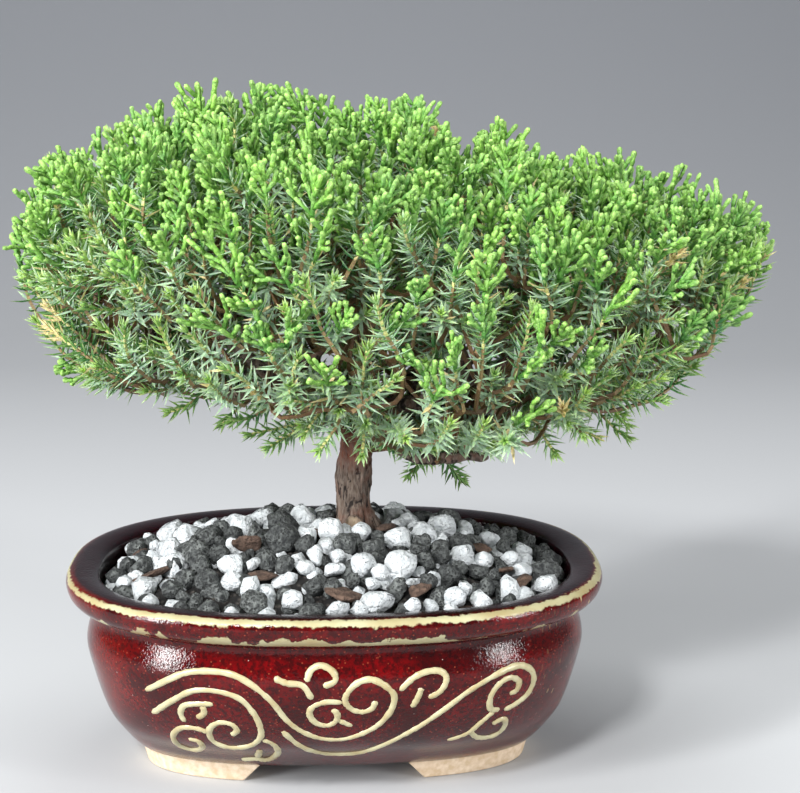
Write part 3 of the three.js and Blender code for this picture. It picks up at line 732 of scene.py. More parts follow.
def write_mesh(name, batches, finish, smooth):
    """One object from batches of (points, faces, values), with a colour of values for every point."""
    all_points, all_values, loops, counts, base = [], [], [], [], 0
    for points, faces, values in batches:
        number, corners = points.shape[:2]
        if number == 0:
            continue
        all_points.append(points.reshape(-1, 3))
        all_values.append(values.reshape(-1, 4))
        flat = np.concatenate([np.array(f) for f in faces])
        starts = base + corners * np.arange(number)
        loops.append((flat[None] + starts[:, None]).ravel())
        counts.append(np.tile([len(f) for f in faces], number))
        base += number * corners
    points, values = np.concatenate(all_points), np.concatenate(all_values)
    loops, counts = np.concatenate(loops), np.concatenate(counts)
    mesh = bpy.data.meshes.new(name)
    mesh.vertices.add(len(points))
    mesh.vertices.foreach_set("co", (points * MM).astype(np.float32).ravel())
    mesh.loops.add(len(loops))
    mesh.loops.foreach_set("vertex_index", loops.astype(np.int32))
    mesh.polygons.add(len(counts))
    mesh.polygons.foreach_set("loop_start", (np.cumsum(counts) - counts).astype(np.int32))
    mesh.polygons.foreach_set("loop_total", counts.astype(np.int32))
    mesh.polygons.foreach_set("use_smooth", np.full(len(counts), smooth))
    mesh.update(calc_edges=True)
    growth = mesh.attributes.new("growth", "FLOAT_COLOR", "POINT")
    growth.data.foreach_set("color", values.astype(np.float32).ravel())
    mesh.materials.append(finish)
    obj = bpy.data.objects.new(name, mesh)
    bpy.context.collection.objects.link(obj)
    return obj


# %% [markdown]
# ## Soil and stones
# A shallow mound of dark grit fills the pot, and a layer of loose stones covers it: white pumice with small
# pits, dark grey lava full of holes, and a few brown chips of bark; the shade inside the pits and holes is
# painted into their colour. The mound is drawn up from the same oval as the pot. A few masters of each kind
# are enough, as each copy is turned and sized another way.

# %% Finishes of the stones
# The pit colour is painted shade: pits and holes are only bumps, and their dark colour stands in for the
# shade inside them.
STONE_LOOKS = {  # light, dark and pit colours, size of the pits, weight of the crags
    "pumice": (colour(216, 220, 221), colour(186, 191, 194), colour(112, 116, 118), 0.24, 0.5),
    "lava": (colour(122, 126, 124), colour(40, 42, 43), colour(8, 9, 10), 0.42, 1.6),
    "chips": (colour(104, 84, 72), colour(70, 55, 47), colour(38, 29, 25), 0.2, 0.5),
}
HOLE_SHARE = 0.62  # how big the wide holes are in their cells, against the fine pits


def stone_finish(name):
    light, dark, pit_shade_colour, pit_size, crag_weight = STONE_LOOKS[name]
    made, tree, shader, where = material(name, 0.92)
    tint = split(tree, "Color", attribute(tree, "growth").outputs["Color"])["Green"]
    grain = pattern(tree, CLOUDS, where, scale=420, detail=5, low=0.35, high=0.65)
    pits = pattern(tree, SPOTS, where, scale=900, size=pit_size, softness=0.18)
    holes = pattern(tree, SPOTS, where, scale=420, size=pit_size * HOLE_SHARE, softness=0.1)
    either = math_node(tree, "MAXIMUM", pits, holes)
    shaded_pits = math_node(tree, "MULTIPLY", either, ramp(tree, grain, 0.1, 0.8))
    stone = blend_colours(tree, grain, dark, light)
    stone = lay_over(tree, stone, tint, 0.55, dark)
    # Painted shade: the pits and holes are darkened, as shade would fall in them; the same mask dents the
    # bump.
    stone = lay_over(tree, stone, shaded_pits, 0.8, pit_shade_colour)
    tree.links.new(stone, shader.inputs["Base Color"])
    crag = pattern(tree, CLOUDS, where, scale=300, detail=6, low=0.3, high=0.7)
    rough = math_node(tree, "ADD", grain, math_node(tree, "MULTIPLY", crag, crag_weight))
    bump(tree, shader, math_node(tree, "SUBTRACT", rough, shaded_pits), distance=0.8, strength=1.1)
    return made


grit, tree, shader, where = material("dark_grit", 0.95)
crumbs = pattern(tree, SPOTS, where, scale=380, size=0.5, softness=0.3)
crumbly = blend_colours(tree, crumbs, colour(24, 22, 21), colour(66, 62, 58))
tree.links.new(crumbly, shader.inputs["Base Color"])
bump(tree, shader, crumbs, distance=1.2)

# %% The mound
SOIL_EDGE_Z, SOIL_MOUND, MOUND_POWER = 73, 19.5, 1.8
SOIL_INSET = 13.4
SOIL_HALF = (POT_LENGTH / 2 - SOIL_INSET, POT_DEPTH / 2 - SOIL_INSET)
SOIL_GAP = 0.5  # from the pot's inside
SOIL_EDGE = [(13.6, 13.8, 60), (13.5, 13.5, 71)]
UNDER_STONES = 2.5
MOUND_RINGS = (0.99, 0.94, 0.86, 0.76, 0.64, 0.5, 0.36, 0.22, 0.1)
TRUNK_FOOT, TRUNK_TOP = (8.3, 5, 66), (8.3, 4, 130)


def mound_height(share):
    return SOIL_EDGE_Z + SOIL_MOUND * (1 - share**MOUND_POWER)


soil_rows = [(x + SOIL_GAP, y + SOIL_GAP, z + SOIL_GAP) for x, y, z in reversed(INSIDE[1:])] + SOIL_EDGE
for share in MOUND_RINGS:
    inset_x, inset_y = POT_LENGTH / 2 - SOIL_HALF[0] * share, POT_DEPTH / 2 - SOIL_HALF[1] * share
    soil_rows.append((inset_x, inset_y, mound_height(share) - UNDER_STONES))
mound = close_and_face_out(draw_up("soil_mound", soil_rows, 96))
mound.data.materials.append(grit)
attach(mound, "root")
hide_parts("soil")

# %% Master stones: a ball, cut by a few flat breaks, then dented by clouds
STONE_SHAPES = {  # stretch, flat breaks, width and depth of the dents, number of masters
    "pumice": ((1.2, 1, 0.85), 8, 0.9, 0.32, 5),
    "lava": ((1.1, 1, 0.9), 6, 0.55, 0.6, 5),
    "chips": ((1.7, 0.9, 0.3), 2, 0.7, 0.3, 2),
}
BALL_RADIUS, BREAK_NEAREST, BREAK_SPREAD = 1.06, 0.62, 0.2


def make_stone(kind, number):
    stretch, breaks, dent_width, dent_depth, _ = STONE_SHAPES[kind]
    draw = np.random.default_rng(100 * len(kind) + number)
    deselect()
    bpy.ops.mesh.primitive_ico_sphere_add(subdivisions=3, radius=BALL_RADIUS * MM)
    stone = bpy.context.object
    bpy.ops.transform.resize(value=stretch)
    bpy.ops.object.transform_apply(location=True, rotation=True, scale=True)
    bpy.ops.object.mode_set(mode="EDIT")
    for _ in range(breaks):
        normal = Vector(draw.normal(size=3)).normalized()
        place = normal * (BREAK_NEAREST + BREAK_SPREAD * draw.random()) * MM
        bpy.ops.mesh.select_all(action="SELECT")
        bpy.ops.mesh.bisect(plane_co=place, plane_no=normal, use_fill=True, clear_outer=True)
    bpy.ops.mesh.select_all(action="SELECT")
    bpy.ops.mesh.quads_convert_to_tris()
    bpy.ops.object.mode_set(mode="OBJECT")
    dents = bpy.data.textures.new(f"dents_{kind}_{number}", "CLOUDS")
    dents.noise_scale = dent_width * MM
    dented = stone.modifiers.new("dents", "DISPLACE")
    dented.texture = dents
    dented.strength = dent_depth * MM
    dented.mid_level = 0.5
    bpy.ops.object.modifier_apply(modifier=dented.name)
    return take_master(stone)


masters = {kind: [make_stone(kind, i) for i in range(shape[-1])] for kind, shape in STONE_SHAPES.items()}
print("stone masters:", {k: [len(m[1]) for m in v] for k, v in masters.items()})

# %% Where the stones lie: a lower layer, then an upper one, each with its stones just touching
STONES, TRIES, LOWER_SHARE = 560, 9000, 0.42
SIZES, SIZE_ODDS = [2.9, 3.6, 4.4, 5.2, 6.2], [0.16, 0.22, 0.26, 0.22, 0.14]
KIND_ODDS = [0.46, 0.5, 0.04]
WALL_ROOM = (95, 70)  # the bigger a stone, the further it keeps from the wall
TRUNK_ROOM, STONE_ROOM = 8.6, 0.8
TOUCHING = 0.86
draw = np.random.default_rng(7)
laid = []


def has_room(x, y, size, layer):
    if math.hypot(x - TRUNK_FOOT[0], y - TRUNK_FOOT[1]) < TRUNK_ROOM + size * STONE_ROOM:
        return False
    for other_x, other_y, other_size, other_layer in laid:
        apart = (x - other_x) ** 2 + (y - other_y) ** 2
        if other_layer == layer and apart < (TOUCHING * (size + other_size)) ** 2:
            return False
    return True


for _ in range(TRIES):
    r, a = math.sqrt(draw.random()), draw.random() * 2 * math.pi
    wall_x, wall_y = oval(SOIL_INSET, SOIL_INSET, a)
    size = draw.choice(SIZES, p=SIZE_ODDS)
    x, y = wall_x * r * (1 - size / WALL_ROOM[0]), wall_y * r * (1 - size / WALL_ROOM[1])
    layer = 0 if len(laid) < STONES * LOWER_SHARE else 1
    if has_room(x, y, size, layer):
        laid.append((x, y, size, layer))
    if len(laid) == STONES:
        break
kinds = draw.choice(list(STONE_SHAPES), size=len(laid), p=KIND_ODDS)

# %% Laying the stones, each turned, sized and tinted its own way
LAYER_LIFT, UNEVEN_LIFT = (-3.2, 0.4), 0.8
SIZE_CHANGE = (0.85, 1.12)
UPRIGHT_PULL = np.array([0, 0, 0.8])
TUMBLE = {"pumice": 1.0, "lava": 1.0, "chips": 0.35}  # chips lie flatter


def stone_batch(kind, master, chosen):
    xy = np.array([(x, y) for x, y, _, _ in chosen])
    sizes = np.array([size for _, _, size, _ in chosen])
    lift = np.array([LAYER_LIFT[layer] for _, _, _, layer in chosen])
    parts = np.abs(xy[:, 0] / SOIL_HALF[0]) ** OVAL_POWER + np.abs(xy[:, 1] / SOIL_HALF[1]) ** OVAL_POWER
    shares = np.minimum(parts ** (1 / OVAL_POWER), 1)
    z = mound_height(shares) + lift + draw.uniform(-UNEVEN_LIFT, UNEVEN_LIFT, len(chosen))
    place = np.column_stack([xy[:, 0] + POT.x, xy[:, 1] + POT.y, z])
    up = unit(draw.normal(size=(len(chosen), 3)) * TUMBLE[kind] + UPRIGHT_PULL)
    turn = frames(np.cross(up, draw.normal(size=(len(chosen), 3))), up)[:, :, [2, 0, 1]]
    size = sizes[:, None] * draw.uniform(*SIZE_CHANGE, (len(chosen), 3))
    points, faces = copies(master, place, turn, size)
    values = np.zeros((*points.shape[:2], 4))
    values[:, :, 1] = draw.random(len(chosen))[:, None]
    return points, faces, values


for kind in masters:
    batches = []
    for number, master in enumerate(masters[kind]):
        dealt = [s for i, s in enumerate(laid) if kinds[i] == kind and i % len(masters[kind]) == number]
        if dealt:
            batches.append(stone_batch(kind, master, dealt))
    stones = write_mesh(f"stones_{kind}", batches, stone_finish(kind), True)
    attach(stones, "root")
    print(kind, "stones:", sum(len(b[0]) for b in batches), "faces:", len(stones.data.polygons))

# %% [markdown]
# ## How the tree is laid out
# The solids of the frame hold one stem for each spray, with its root on a twig and its tip in the crown.
# The same rule that placed them is repeated here, and the true ends are then read from the frame's own
# corners, so that the finer sprays grow exactly where the solids are. The crown's outline is given as (x,
# height) in mm.

# %% The crown's outline
CROWN_X, CROWN_LENGTH, CROWN_DEPTH = 23.5, 141.5, 83
CROWN_TOP = [
    (-117, 202), (-102, 237), (-61, 253), (-23, 258), (4, 251), (35, 253), (44, 242), (57, 246), (77, 235),
    (119, 233), (149, 215), (165, 202),
]
CROWN_BOTTOM = [
    (-117, 194), (-108, 155), (-97, 143), (-59, 141), (-31, 132), (0, 130), (22, 116), (58, 116), (79, 126),
    (100, 136), (115, 134), (133, 153), (149, 176), (165, 202),
]


def height_at(outline, x):
    return np.interp(x, [p[0] for p in outline], [p[1] for p in outline])


# %% The random generator that the solids were placed with
WORD, MAGIC = 0xFFFFFFFF, 0x6D2B79F5


def seeded(seed):
    state = seed

    def draw():
        nonlocal state
        state = (state + MAGIC) & WORD
        t = state
        t = ((t ^ (t >> 15)) * (t | 1)) & WORD
        t ^= (t + ((t ^ (t >> 7)) * (t | 61))) & WORD
        return ((t ^ (t >> 14)) & WORD) / (WORD + 1)

    return draw


# %% The rule that places the sprays: each is (kind, tip, lean, whether it ends in fans)
TOP_SPRAYS, MID_SPRAYS, LOW_SPRAYS = 12, 11, 6
SHOULDER_SPRAYS = [(75, -48), (6, -56), (-57, -42), (36, 56)]
PLAN_SEED = 5
GOLDEN = math.pi * (3 - math.sqrt(5))
TOP_REACH, LOW_REACH = (0.84, 0.74), (0.62, 0.66)
TOP_DROP, SHOULDER_DROP, LOW_LIFT = 25, 30, 9
DOME, BACK_SLOPE, MID_SLOPE, LOW_SLOPE = 24, 0.16, 0.12, 0.2
FAN_INSET, NEEDLE_INSET = 25, 11
STEM_LENGTH = {"top": 36, "mid": 38, "low": 32, "shoulder": 36}
OUTWARD, FAN_RISE, HANG = 0.6, 0.45, -0.12  # how far stems lean out, and rise or hang at the sides


def under_the_dome(x, y, drop):
    return height_at(CROWN_TOP, x) - drop - DOME * (y / CROWN_DEPTH) ** 2 - BACK_SLOPE * max(0, y)


def top_spray(i):
    r, a = math.sqrt((i + 0.4) / TOP_SPRAYS), i * GOLDEN + 0.6
    x = CROWN_X + TOP_REACH[0] * CROWN_LENGTH * r * math.cos(a)
    y = TOP_REACH[1] * CROWN_DEPTH * r * math.sin(a)
    lean = (math.cos(a) * OUTWARD * r, math.sin(a) * OUTWARD * r, 1)
    return "top", (x, y, under_the_dome(x, y, TOP_DROP)), lean, True


def mid_spray(i, draw):
    a = (i + 0.5) / MID_SPRAYS * 2 * math.pi
    fan = abs(math.sin(a)) < 0.5 or i % 3 == 1
    inset = FAN_INSET if fan else NEEDLE_INSET
    x, y = CROWN_X + (CROWN_LENGTH - inset) * math.cos(a), (CROWN_DEPTH - inset) * math.sin(a)
    z = 0.45 * height_at(CROWN_TOP, x) + 0.55 * height_at(CROWN_BOTTOM, x) - MID_SLOPE * y
    lean = (math.cos(a), math.sin(a), FAN_RISE if fan else 0.1 + 0.2 * draw())
    return "mid", (x, y, z), lean, fan


def low_spray(i):
    a = (i + 0.25) / LOW_SPRAYS * 2 * math.pi
    x = CROWN_X + LOW_REACH[0] * CROWN_LENGTH * math.cos(a)
    y = LOW_REACH[1] * CROWN_DEPTH * math.sin(a)
    z = height_at(CROWN_BOTTOM, x) + LOW_LIFT - LOW_SLOPE * y
    return "low", (x, y, z), (math.cos(a), math.sin(a), HANG), False


def shoulder_spray(x, y):
    lean = (0.25 * (x - CROWN_X) / CROWN_LENGTH, OUTWARD * y / CROWN_DEPTH, 1)
    return "shoulder", (x, y, under_the_dome(x, y, SHOULDER_DROP)), lean, True


def spray_plan():
    draw = seeded(PLAN_SEED)
    plans = [top_spray(i) for i in range(TOP_SPRAYS)]
    plans += [mid_spray(i, draw) for i in range(MID_SPRAYS)]
    plans += [low_spray(i) for i in range(LOW_SPRAYS)]
    plans += [shoulder_spray(x, y) for x, y in SHOULDER_SPRAYS]
    return plans


# %% The true ends of the sprays, read from the frame
SAME_CORNER, RING_CORNERS, END_GAP = 0.05, 3, 0.4


def near_corners(node, point):
    """The middle of the ring that a stem starts with: a node's three corners nearest to a point."""
    corners = np.array([v.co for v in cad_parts[node].data.vertices]) / MM
    order = np.argsort(np.linalg.norm(corners - point, axis=1))
    chosen = []
    for i in order:
        if all(np.linalg.norm(corners[i] - c) > SAME_CORNER for c in chosen):
            chosen.append(corners[i])
        if len(chosen) == RING_CORNERS:
            break
    return np.mean(chosen, axis=0)


sprays = []
for i, (kind, tip, lean, fan) in enumerate(spray_plan()):
    name = f"needle_spray_{i + 1:02d}"
    length = STEM_LENGTH[kind]
    axis = unit(np.array(lean, float))
    tip = np.array(tip) + np.array(POT)
    root = near_corners(name, tip - axis * (length - END_GAP))
    end = near_corners(name, tip + axis * END_GAP)
    stem = {"root": root, "tip": end, "axis": unit(end - root)}
    sprays.append({"name": name, "kind": kind, "fan": fan, **stem})
    if i % 6 == 0:
        off = float(np.linalg.norm(root - tip + axis * length))
        print(name, kind, "root off the plan by", round(off, 1), "mm")

# %% [markdown]
# ## Shoots
# A juniper's crown is made of many upright shoots, each about as thick as a finger. The first shoots of a
# spray follow the frame: one along the stem and several from its sides, which lean out and then turn up to
# the light. Between the sprays the same kind of shoot fills the crown's skin, wherever it is still bare,
# and a few darker ones fill the inside, so that little light falls through the crown. Four short shoots
# dress each spray's root, and three sprigs hang in front of the trunk's top, as in the photograph.

# %% Growing one shoot
rng = np.random.default_rng(42)
UP = np.array([0, 0, 1.0])
SIDEWAYS = np.array([1.0, 0, 0])
NEARLY_UPRIGHT = 0.9
STEP, WAVER = 2.0, 0.08


def grow(start, direction, length, pull, bend):
    """A shoot's line: it starts along a direction and turns by and by towards pull."""
    line, heading = [np.array(start, float)], unit(np.array(direction, float))
    number = max(3, int(round(length / STEP)))
    for _ in range(number):
        heading = unit(heading + np.array(pull) * bend / number + rng.normal(size=3) * WAVER)
        line.append(line[-1] + heading * STEP)
    return np.array(line)


def side_of(axis, angle):
    """A direction square to the axis, turned round it by the angle."""
    first = unit(np.cross(axis, UP if abs(axis[2]) < NEARLY_UPRIGHT else SIDEWAYS))
    return first * math.cos(angle) + np.cross(axis, first) * math.sin(angle)


# %% Shoots on the frame's own stems
DRY_SHARE = 0.06
MAIN_POINTS, MAIN_FAN, SIDE_FAN = 22, 19, 15  # points of a main shoot, heights of fans in mm
SIDE_SHOOTS = {"top": 9, "shoulder": 9, "mid": 8, "low": 8}
SIDE_LIFT = {"top": 0.8, "shoulder": 0.8, "mid": 0.8, "low": 0.1}
FIRST_SIDE, SIDES_OVER = 0.06, 0.82  # shares of the stem
ALONG, ASIDE, FOLLOW, SIDE_BEND = 0.5, 0.95, 0.6, 1.5
SIDE_LENGTH, SIDE_SHORTER, SIDE_CHANGE = 30, 12, 3
shoots = []


def add_shoot(spray, line, kind, height=SIDE_FAN):
    """Kinds are fan (scaly fingers on top), needle, inner (dark, in the crown's shade) and bare (a twig)."""
    dry = kind == "needle" and rng.random() < DRY_SHARE
    shoot = {"spray": spray, "line": line, "kind": kind, "height": height, "tint": rng.random(), "dry": dry}
    shoots.append(shoot)


for i, spray in enumerate(sprays):
    kind = "fan" if spray["fan"] else "needle"
    add_shoot(i, np.linspace(spray["root"], spray["tip"], MAIN_POINTS), kind, MAIN_FAN)
    sides = SIDE_SHOOTS[spray["kind"]]
    for k in range(sides):
        share = FIRST_SIDE + SIDES_OVER * k / (sides - 1)
        start = spray["root"] + (spray["tip"] - spray["root"]) * share
        out = side_of(spray["axis"], k * GOLDEN + i)
        heading = spray["axis"] * ALONG + out * ASIDE
        pull = spray["axis"] * FOLLOW + UP * SIDE_LIFT[spray["kind"]]
        length = SIDE_LENGTH - SIDE_SHORTER * share + rng.uniform(-SIDE_CHANGE, SIDE_CHANGE)
        add_shoot(i, grow(start, heading, length, pull, SIDE_BEND), kind)
print("shoots on the frame's own stems:", len(shoots))

# %% The tips of possible shoots: over the top, round the sides, underneath and inside
SPACING = {"top": 8.6, "side": 8.2, "under": 9.5, "inner": 13}
TOP_TIPS, SIDE_TIPS, UNDER_TIPS, INNER_TIPS = 520, 96, 170, 300
SIDE_LEVELS = [  # share of the crown's height, reach, share of shoots with fans
    (0.1, 0.82, 0.1), (0.26, 0.9, 0.3), (0.42, 0.94, 0.5), (0.57, 0.95, 0.72), (0.72, 0.94, 0.9),
]
SKIN_SLOPE, TOP_DOME, BOTTOM_DOME = 0.21, 26, 10
TOP_RADIUS, UNDER_RADIUS, INNER_RADIUS = 0.95, 0.68, 0.72  # shares of the crown's ellipse
BELOW_TOP, ABOVE_BOTTOM, INNER_LEVELS = (6, 20), (5, 13), (0.35, 0.72)
TOP_FANS = 0.9


def crown_top(x, y):
    return height_at(CROWN_TOP, x) - SKIN_SLOPE * max(0, y) - TOP_DOME * (y / CROWN_DEPTH) ** 2


def crown_bottom(x, y):
    return height_at(CROWN_BOTTOM, x) + SKIN_SLOPE * max(0, -y) + BOTTOM_DOME * (y / CROWN_DEPTH) ** 2


def crown_level(x, y, level):
    return crown_bottom(x, y) + (crown_top(x, y) - crown_bottom(x, y)) * level


def on_ellipse(r, a):
    return CROWN_X + CROWN_LENGTH * r * math.cos(a), CROWN_DEPTH * r * math.sin(a)


def top_tips():
    for i in range(TOP_TIPS):
        r, a = TOP_RADIUS * math.sqrt((i + 0.5) / TOP_TIPS), i * GOLDEN
        x, y = on_ellipse(r, a)
        z = crown_top(x, y) - rng.uniform(*BELOW_TOP)
        lean = (0.5 * r * math.cos(a), 0.6 * r * math.sin(a), 1)
        yield (x, y, z), lean, "fan" if rng.random() < TOP_FANS else "needle", SPACING["top"]


def side_tips():
    for level, reach, fans in SIDE_LEVELS:
        for i in range(SIDE_TIPS):
            a = 2 * math.pi * (i + level * 3) / SIDE_TIPS
            x, y = on_ellipse(reach, a)
            x, y = x + rng.uniform(-5, 5), y + rng.uniform(-3, 3)
            z = crown_level(x, y, level) + rng.uniform(-5, 5)
            lean = (0.9 * math.cos(a), 0.9 * math.sin(a), 0.35 + 1.1 * level)
            yield (x, y, z), lean, "fan" if rng.random() < fans else "needle", SPACING["side"]


def under_tips():
    for i in range(UNDER_TIPS):
        r, a = UNDER_RADIUS * math.sqrt((i + 0.5) / UNDER_TIPS), i * GOLDEN + 1
        x, y = on_ellipse(r, a)
        z = crown_bottom(x, y) + rng.uniform(*ABOVE_BOTTOM)
        yield (x, y, z), (math.cos(a), math.sin(a), 0.0), "needle", SPACING["under"]


def inner_tips():
    for i in range(INNER_TIPS):
        r, a = INNER_RADIUS * math.sqrt((i + 0.5) / INNER_TIPS), i * GOLDEN + 2
        x, y = on_ellipse(r, a)
        z = crown_level(x, y, rng.uniform(*INNER_LEVELS))
        lean = (rng.normal() * 0.5 + math.cos(a) * r, rng.normal() * 0.5 + math.sin(a) * r, 0.8)
        yield (x, y, z), lean, "inner", SPACING["inner"]


# %% Filling the crown's skin: a tip that has room gets a shoot of the nearest spray
BARE_LEFT, BARE_RIGHT, BARE_BELOW = -56, -8, 153  # the limb's bare stretch at the front, in mm
AIM_NOISE, SHOOT_LENGTH, ROOT_DROP, ROOT_CLEARANCE = 0.24, 28, 2, 5
SHOOT_BEND = 0.9
FAN_HEIGHTS = (12, 21)
pot_shift = np.array(POT)
stem_lines = [np.linspace(s["root"], s["tip"], 12) for s in sprays]
fan_sprays = [i for i, s in enumerate(sprays) if s["fan"]]
links = []


def nearest_spray(point, hosts):
    return min(hosts, key=lambda i: np.min(np.linalg.norm(stem_lines[i] - point, axis=1)))


def over_the_bare_stretch(x, y, z):
    return BARE_LEFT < x < BARE_RIGHT and y < 0 and z < BARE_BELOW


for tips_of_kind in (top_tips, side_tips, under_tips, inner_tips):
    for tip_on_pot, lean, kind, spacing in tips_of_kind():
        tip = np.array(tip_on_pot) + pot_shift
        tips = np.array([s["line"][-1] for s in shoots])
        if np.min(np.linalg.norm(tips - tip, axis=1)) < spacing or over_the_bare_stretch(*tip_on_pot):
            continue
        direction = unit(unit(np.array(lean, float)) + rng.normal(size=3) * AIM_NOISE)
        root = tip - direction * SHOOT_LENGTH - UP * ROOT_DROP
        nearest = nearest_spray(root, fan_sprays if kind == "fan" else range(len(sprays)))
        line = grow(root, direction * 0.8 + UP * 0.1, SHOOT_LENGTH, direction + UP * 0.4, SHOOT_BEND)
        line += tip - line[-1]
        low = crown_bottom(line[0][0] - POT.x, line[0][1] - POT.y) + ROOT_CLEARANCE
        line[:, 2] += max(0, low - line[0][2]) * np.linspace(1, 0, len(line))
        add_shoot(nearest, line, kind, rng.uniform(*FAN_HEIGHTS))
        links.append((nearest, line[0], direction))

# %% Shoots that dress the sprays' roots, and the sprigs in front of the trunk
DRESSING, DRESSING_LENGTHS, DRESSING_STARTS = 4, (13, 19), (-1, 5)
SPRIGS = [((2, -6, 136), (-31, -13, 131)), ((-6, -9, 136), (-24, -20, 128)), ((1, -8, 134), (-12, -22, 136))]
SPRIG_POINTS = 18
for i, spray in enumerate(sprays):
    for k in range(DRESSING):
        heading = side_of(spray["axis"], k * math.pi / 2 + i) + spray["axis"] * 0.25 + UP * 0.15
        start = spray["root"] + spray["axis"] * rng.uniform(*DRESSING_STARTS)
        length = rng.uniform(*DRESSING_LENGTHS)
        add_shoot(i, grow(start, heading, length, heading + UP * 0.5, SHOOT_BEND), "needle")
for start, tip in SPRIGS:
    start, tip = np.array(start) + pot_shift, np.array(tip) + pot_shift
    nearest = nearest_spray(tip, range(len(sprays)))
    add_shoot(nearest, np.linspace(start, tip, SPRIG_POINTS), "needle")
kinds_made = [s["kind"] for s in shoots]
print("shoots:", {k: kinds_made.count(k) for k in sorted(set(kinds_made))})

# %% [markdown]
# ## Needles, scaly fingers and stem joints
# Three small masters make all of the foliage. A needle is a three-sided blade with a keel below and a pale
# face above, bent up at its point. A scaly finger is a blunt four-sided rod whose rings swell and pinch,
# like stacked scales. A stem joint is a short three-sided rod. They have few faces, as they come in
# thousands.

# %% Drawing out a rod, and bending a blade
FLATTENED = 0.55


def draw_out(sides, start, rings, point=None):
    """A small rod drawn out of a ring along +Z. A ring is (height, radius), all in mm. Ends closed."""
    deselect()
    half_turn = (0, 0, math.pi)
    bpy.ops.mesh.primitive_circle_add(vertices=sides, radius=start * MM, fill_type="NGON", rotation=half_turn)
    obj = bpy.context.object
    bpy.ops.object.transform_apply(location=False, rotation=True, scale=False)
    bpy.ops.object.mode_set(mode="EDIT")
    bpy.ops.mesh.select_all(action="SELECT")
    height, radius = 0, start
    for z, r in rings:
        bpy.ops.mesh.extrude_region_move(TRANSFORM_OT_translate={"value": (0, 0, (z - height) * MM)})
        bpy.ops.transform.resize(value=(r / radius, r / radius, 1), center_override=(0, 0, z * MM))
        height, radius = z, r
    if point is not None:
        bpy.ops.mesh.extrude_region_move(TRANSFORM_OT_translate={"value": (0, 0, (point - height) * MM)})
        bpy.ops.mesh.merge(type="CENTER")
    bpy.ops.mesh.select_all(action="SELECT")
    bpy.ops.mesh.normals_make_consistent(inside=False)
    bpy.ops.object.mode_set(mode="OBJECT")
    return obj


def bend_up(blade, amount):
    """Flattens a blade and bends it up towards its point."""
    bpy.ops.object.mode_set(mode="EDIT")
    bpy.ops.mesh.select_all(action="SELECT")
    bpy.ops.transform.resize(value=(1, FLATTENED, 1), center_override=(0, 0, 0))
    bpy.ops.object.mode_set(mode="OBJECT")
    for corner in blade.data.vertices:
        corner.co.y += amount * (corner.co.z / MM) ** 2 * MM
    return blade


# %% Masters of the foliage, one mm long, which every copy stretches to its own size
NEEDLE_START, NEEDLE_RINGS, NEEDLE_BEND = 0.42, [(0.42, 0.6)], 0.8
FINGER_START, FINGER_RINGS = 0.72, [(0.3, 1.12), (0.46, 0.9), (0.78, 1.22), (0.94, 0.9)]
JOINT_START, JOINT_RINGS = 1.1, [(1, 1)]
FACES_UP = 0.3
blade = bend_up(draw_out(3, NEEDLE_START, NEEDLE_RINGS, 1.0), NEEDLE_BEND)
PALE_FACES = [f.normal.y > FACES_UP for f in blade.data.polygons]
NEEDLE = take_master(blade)
FINGER = take_master(draw_out(4, FINGER_START, FINGER_RINGS, 1.0))
JOINT = take_master(draw_out(3, JOINT_START, JOINT_RINGS))
print("faces of a needle, a finger, a joint:", [len(m[1]) for m in (NEEDLE, FINGER, JOINT)])

# %% [markdown]
# ## Finishes of the foliage
# Every copy carries four values: how fresh it is, its own tint, the share along its length, and how brown
# it is. Old needles are blue-green with a pale bloom on the upper face, fresh ones yellow-green; dry ones
# are straw. Shade is painted into the grooves of the scale pattern, which are darker green. Leaves let some
# light through, so the finish is a satin gloss with a little light scattered inside.

# %% What needles and scaly tips have in common
COOLER, WARMER = colour(62, 122, 76), colour(132, 176, 66)
STRAW, DEAD, GROOVE_SHADE = colour(226, 206, 150), colour(104, 74, 52), colour(46, 88, 36)
COOLER_AMOUNT, WARMER_AMOUNT, POINT_AMOUNT = 0.5, 0.25, 0.6
POINT_FROM = (0.3, 1.1)  # shares of the length
BLOOM_BY_AGE = (0.2, 1.0, 0.55, 0.2)  # from this age to that one, the bloom falls from 0.55 to 0.2
LIGHT_INSIDE, LIGHT_COLOURS, LIGHT_DEPTH = 0.2, (0.4, 0.8, 0.15), 1.2


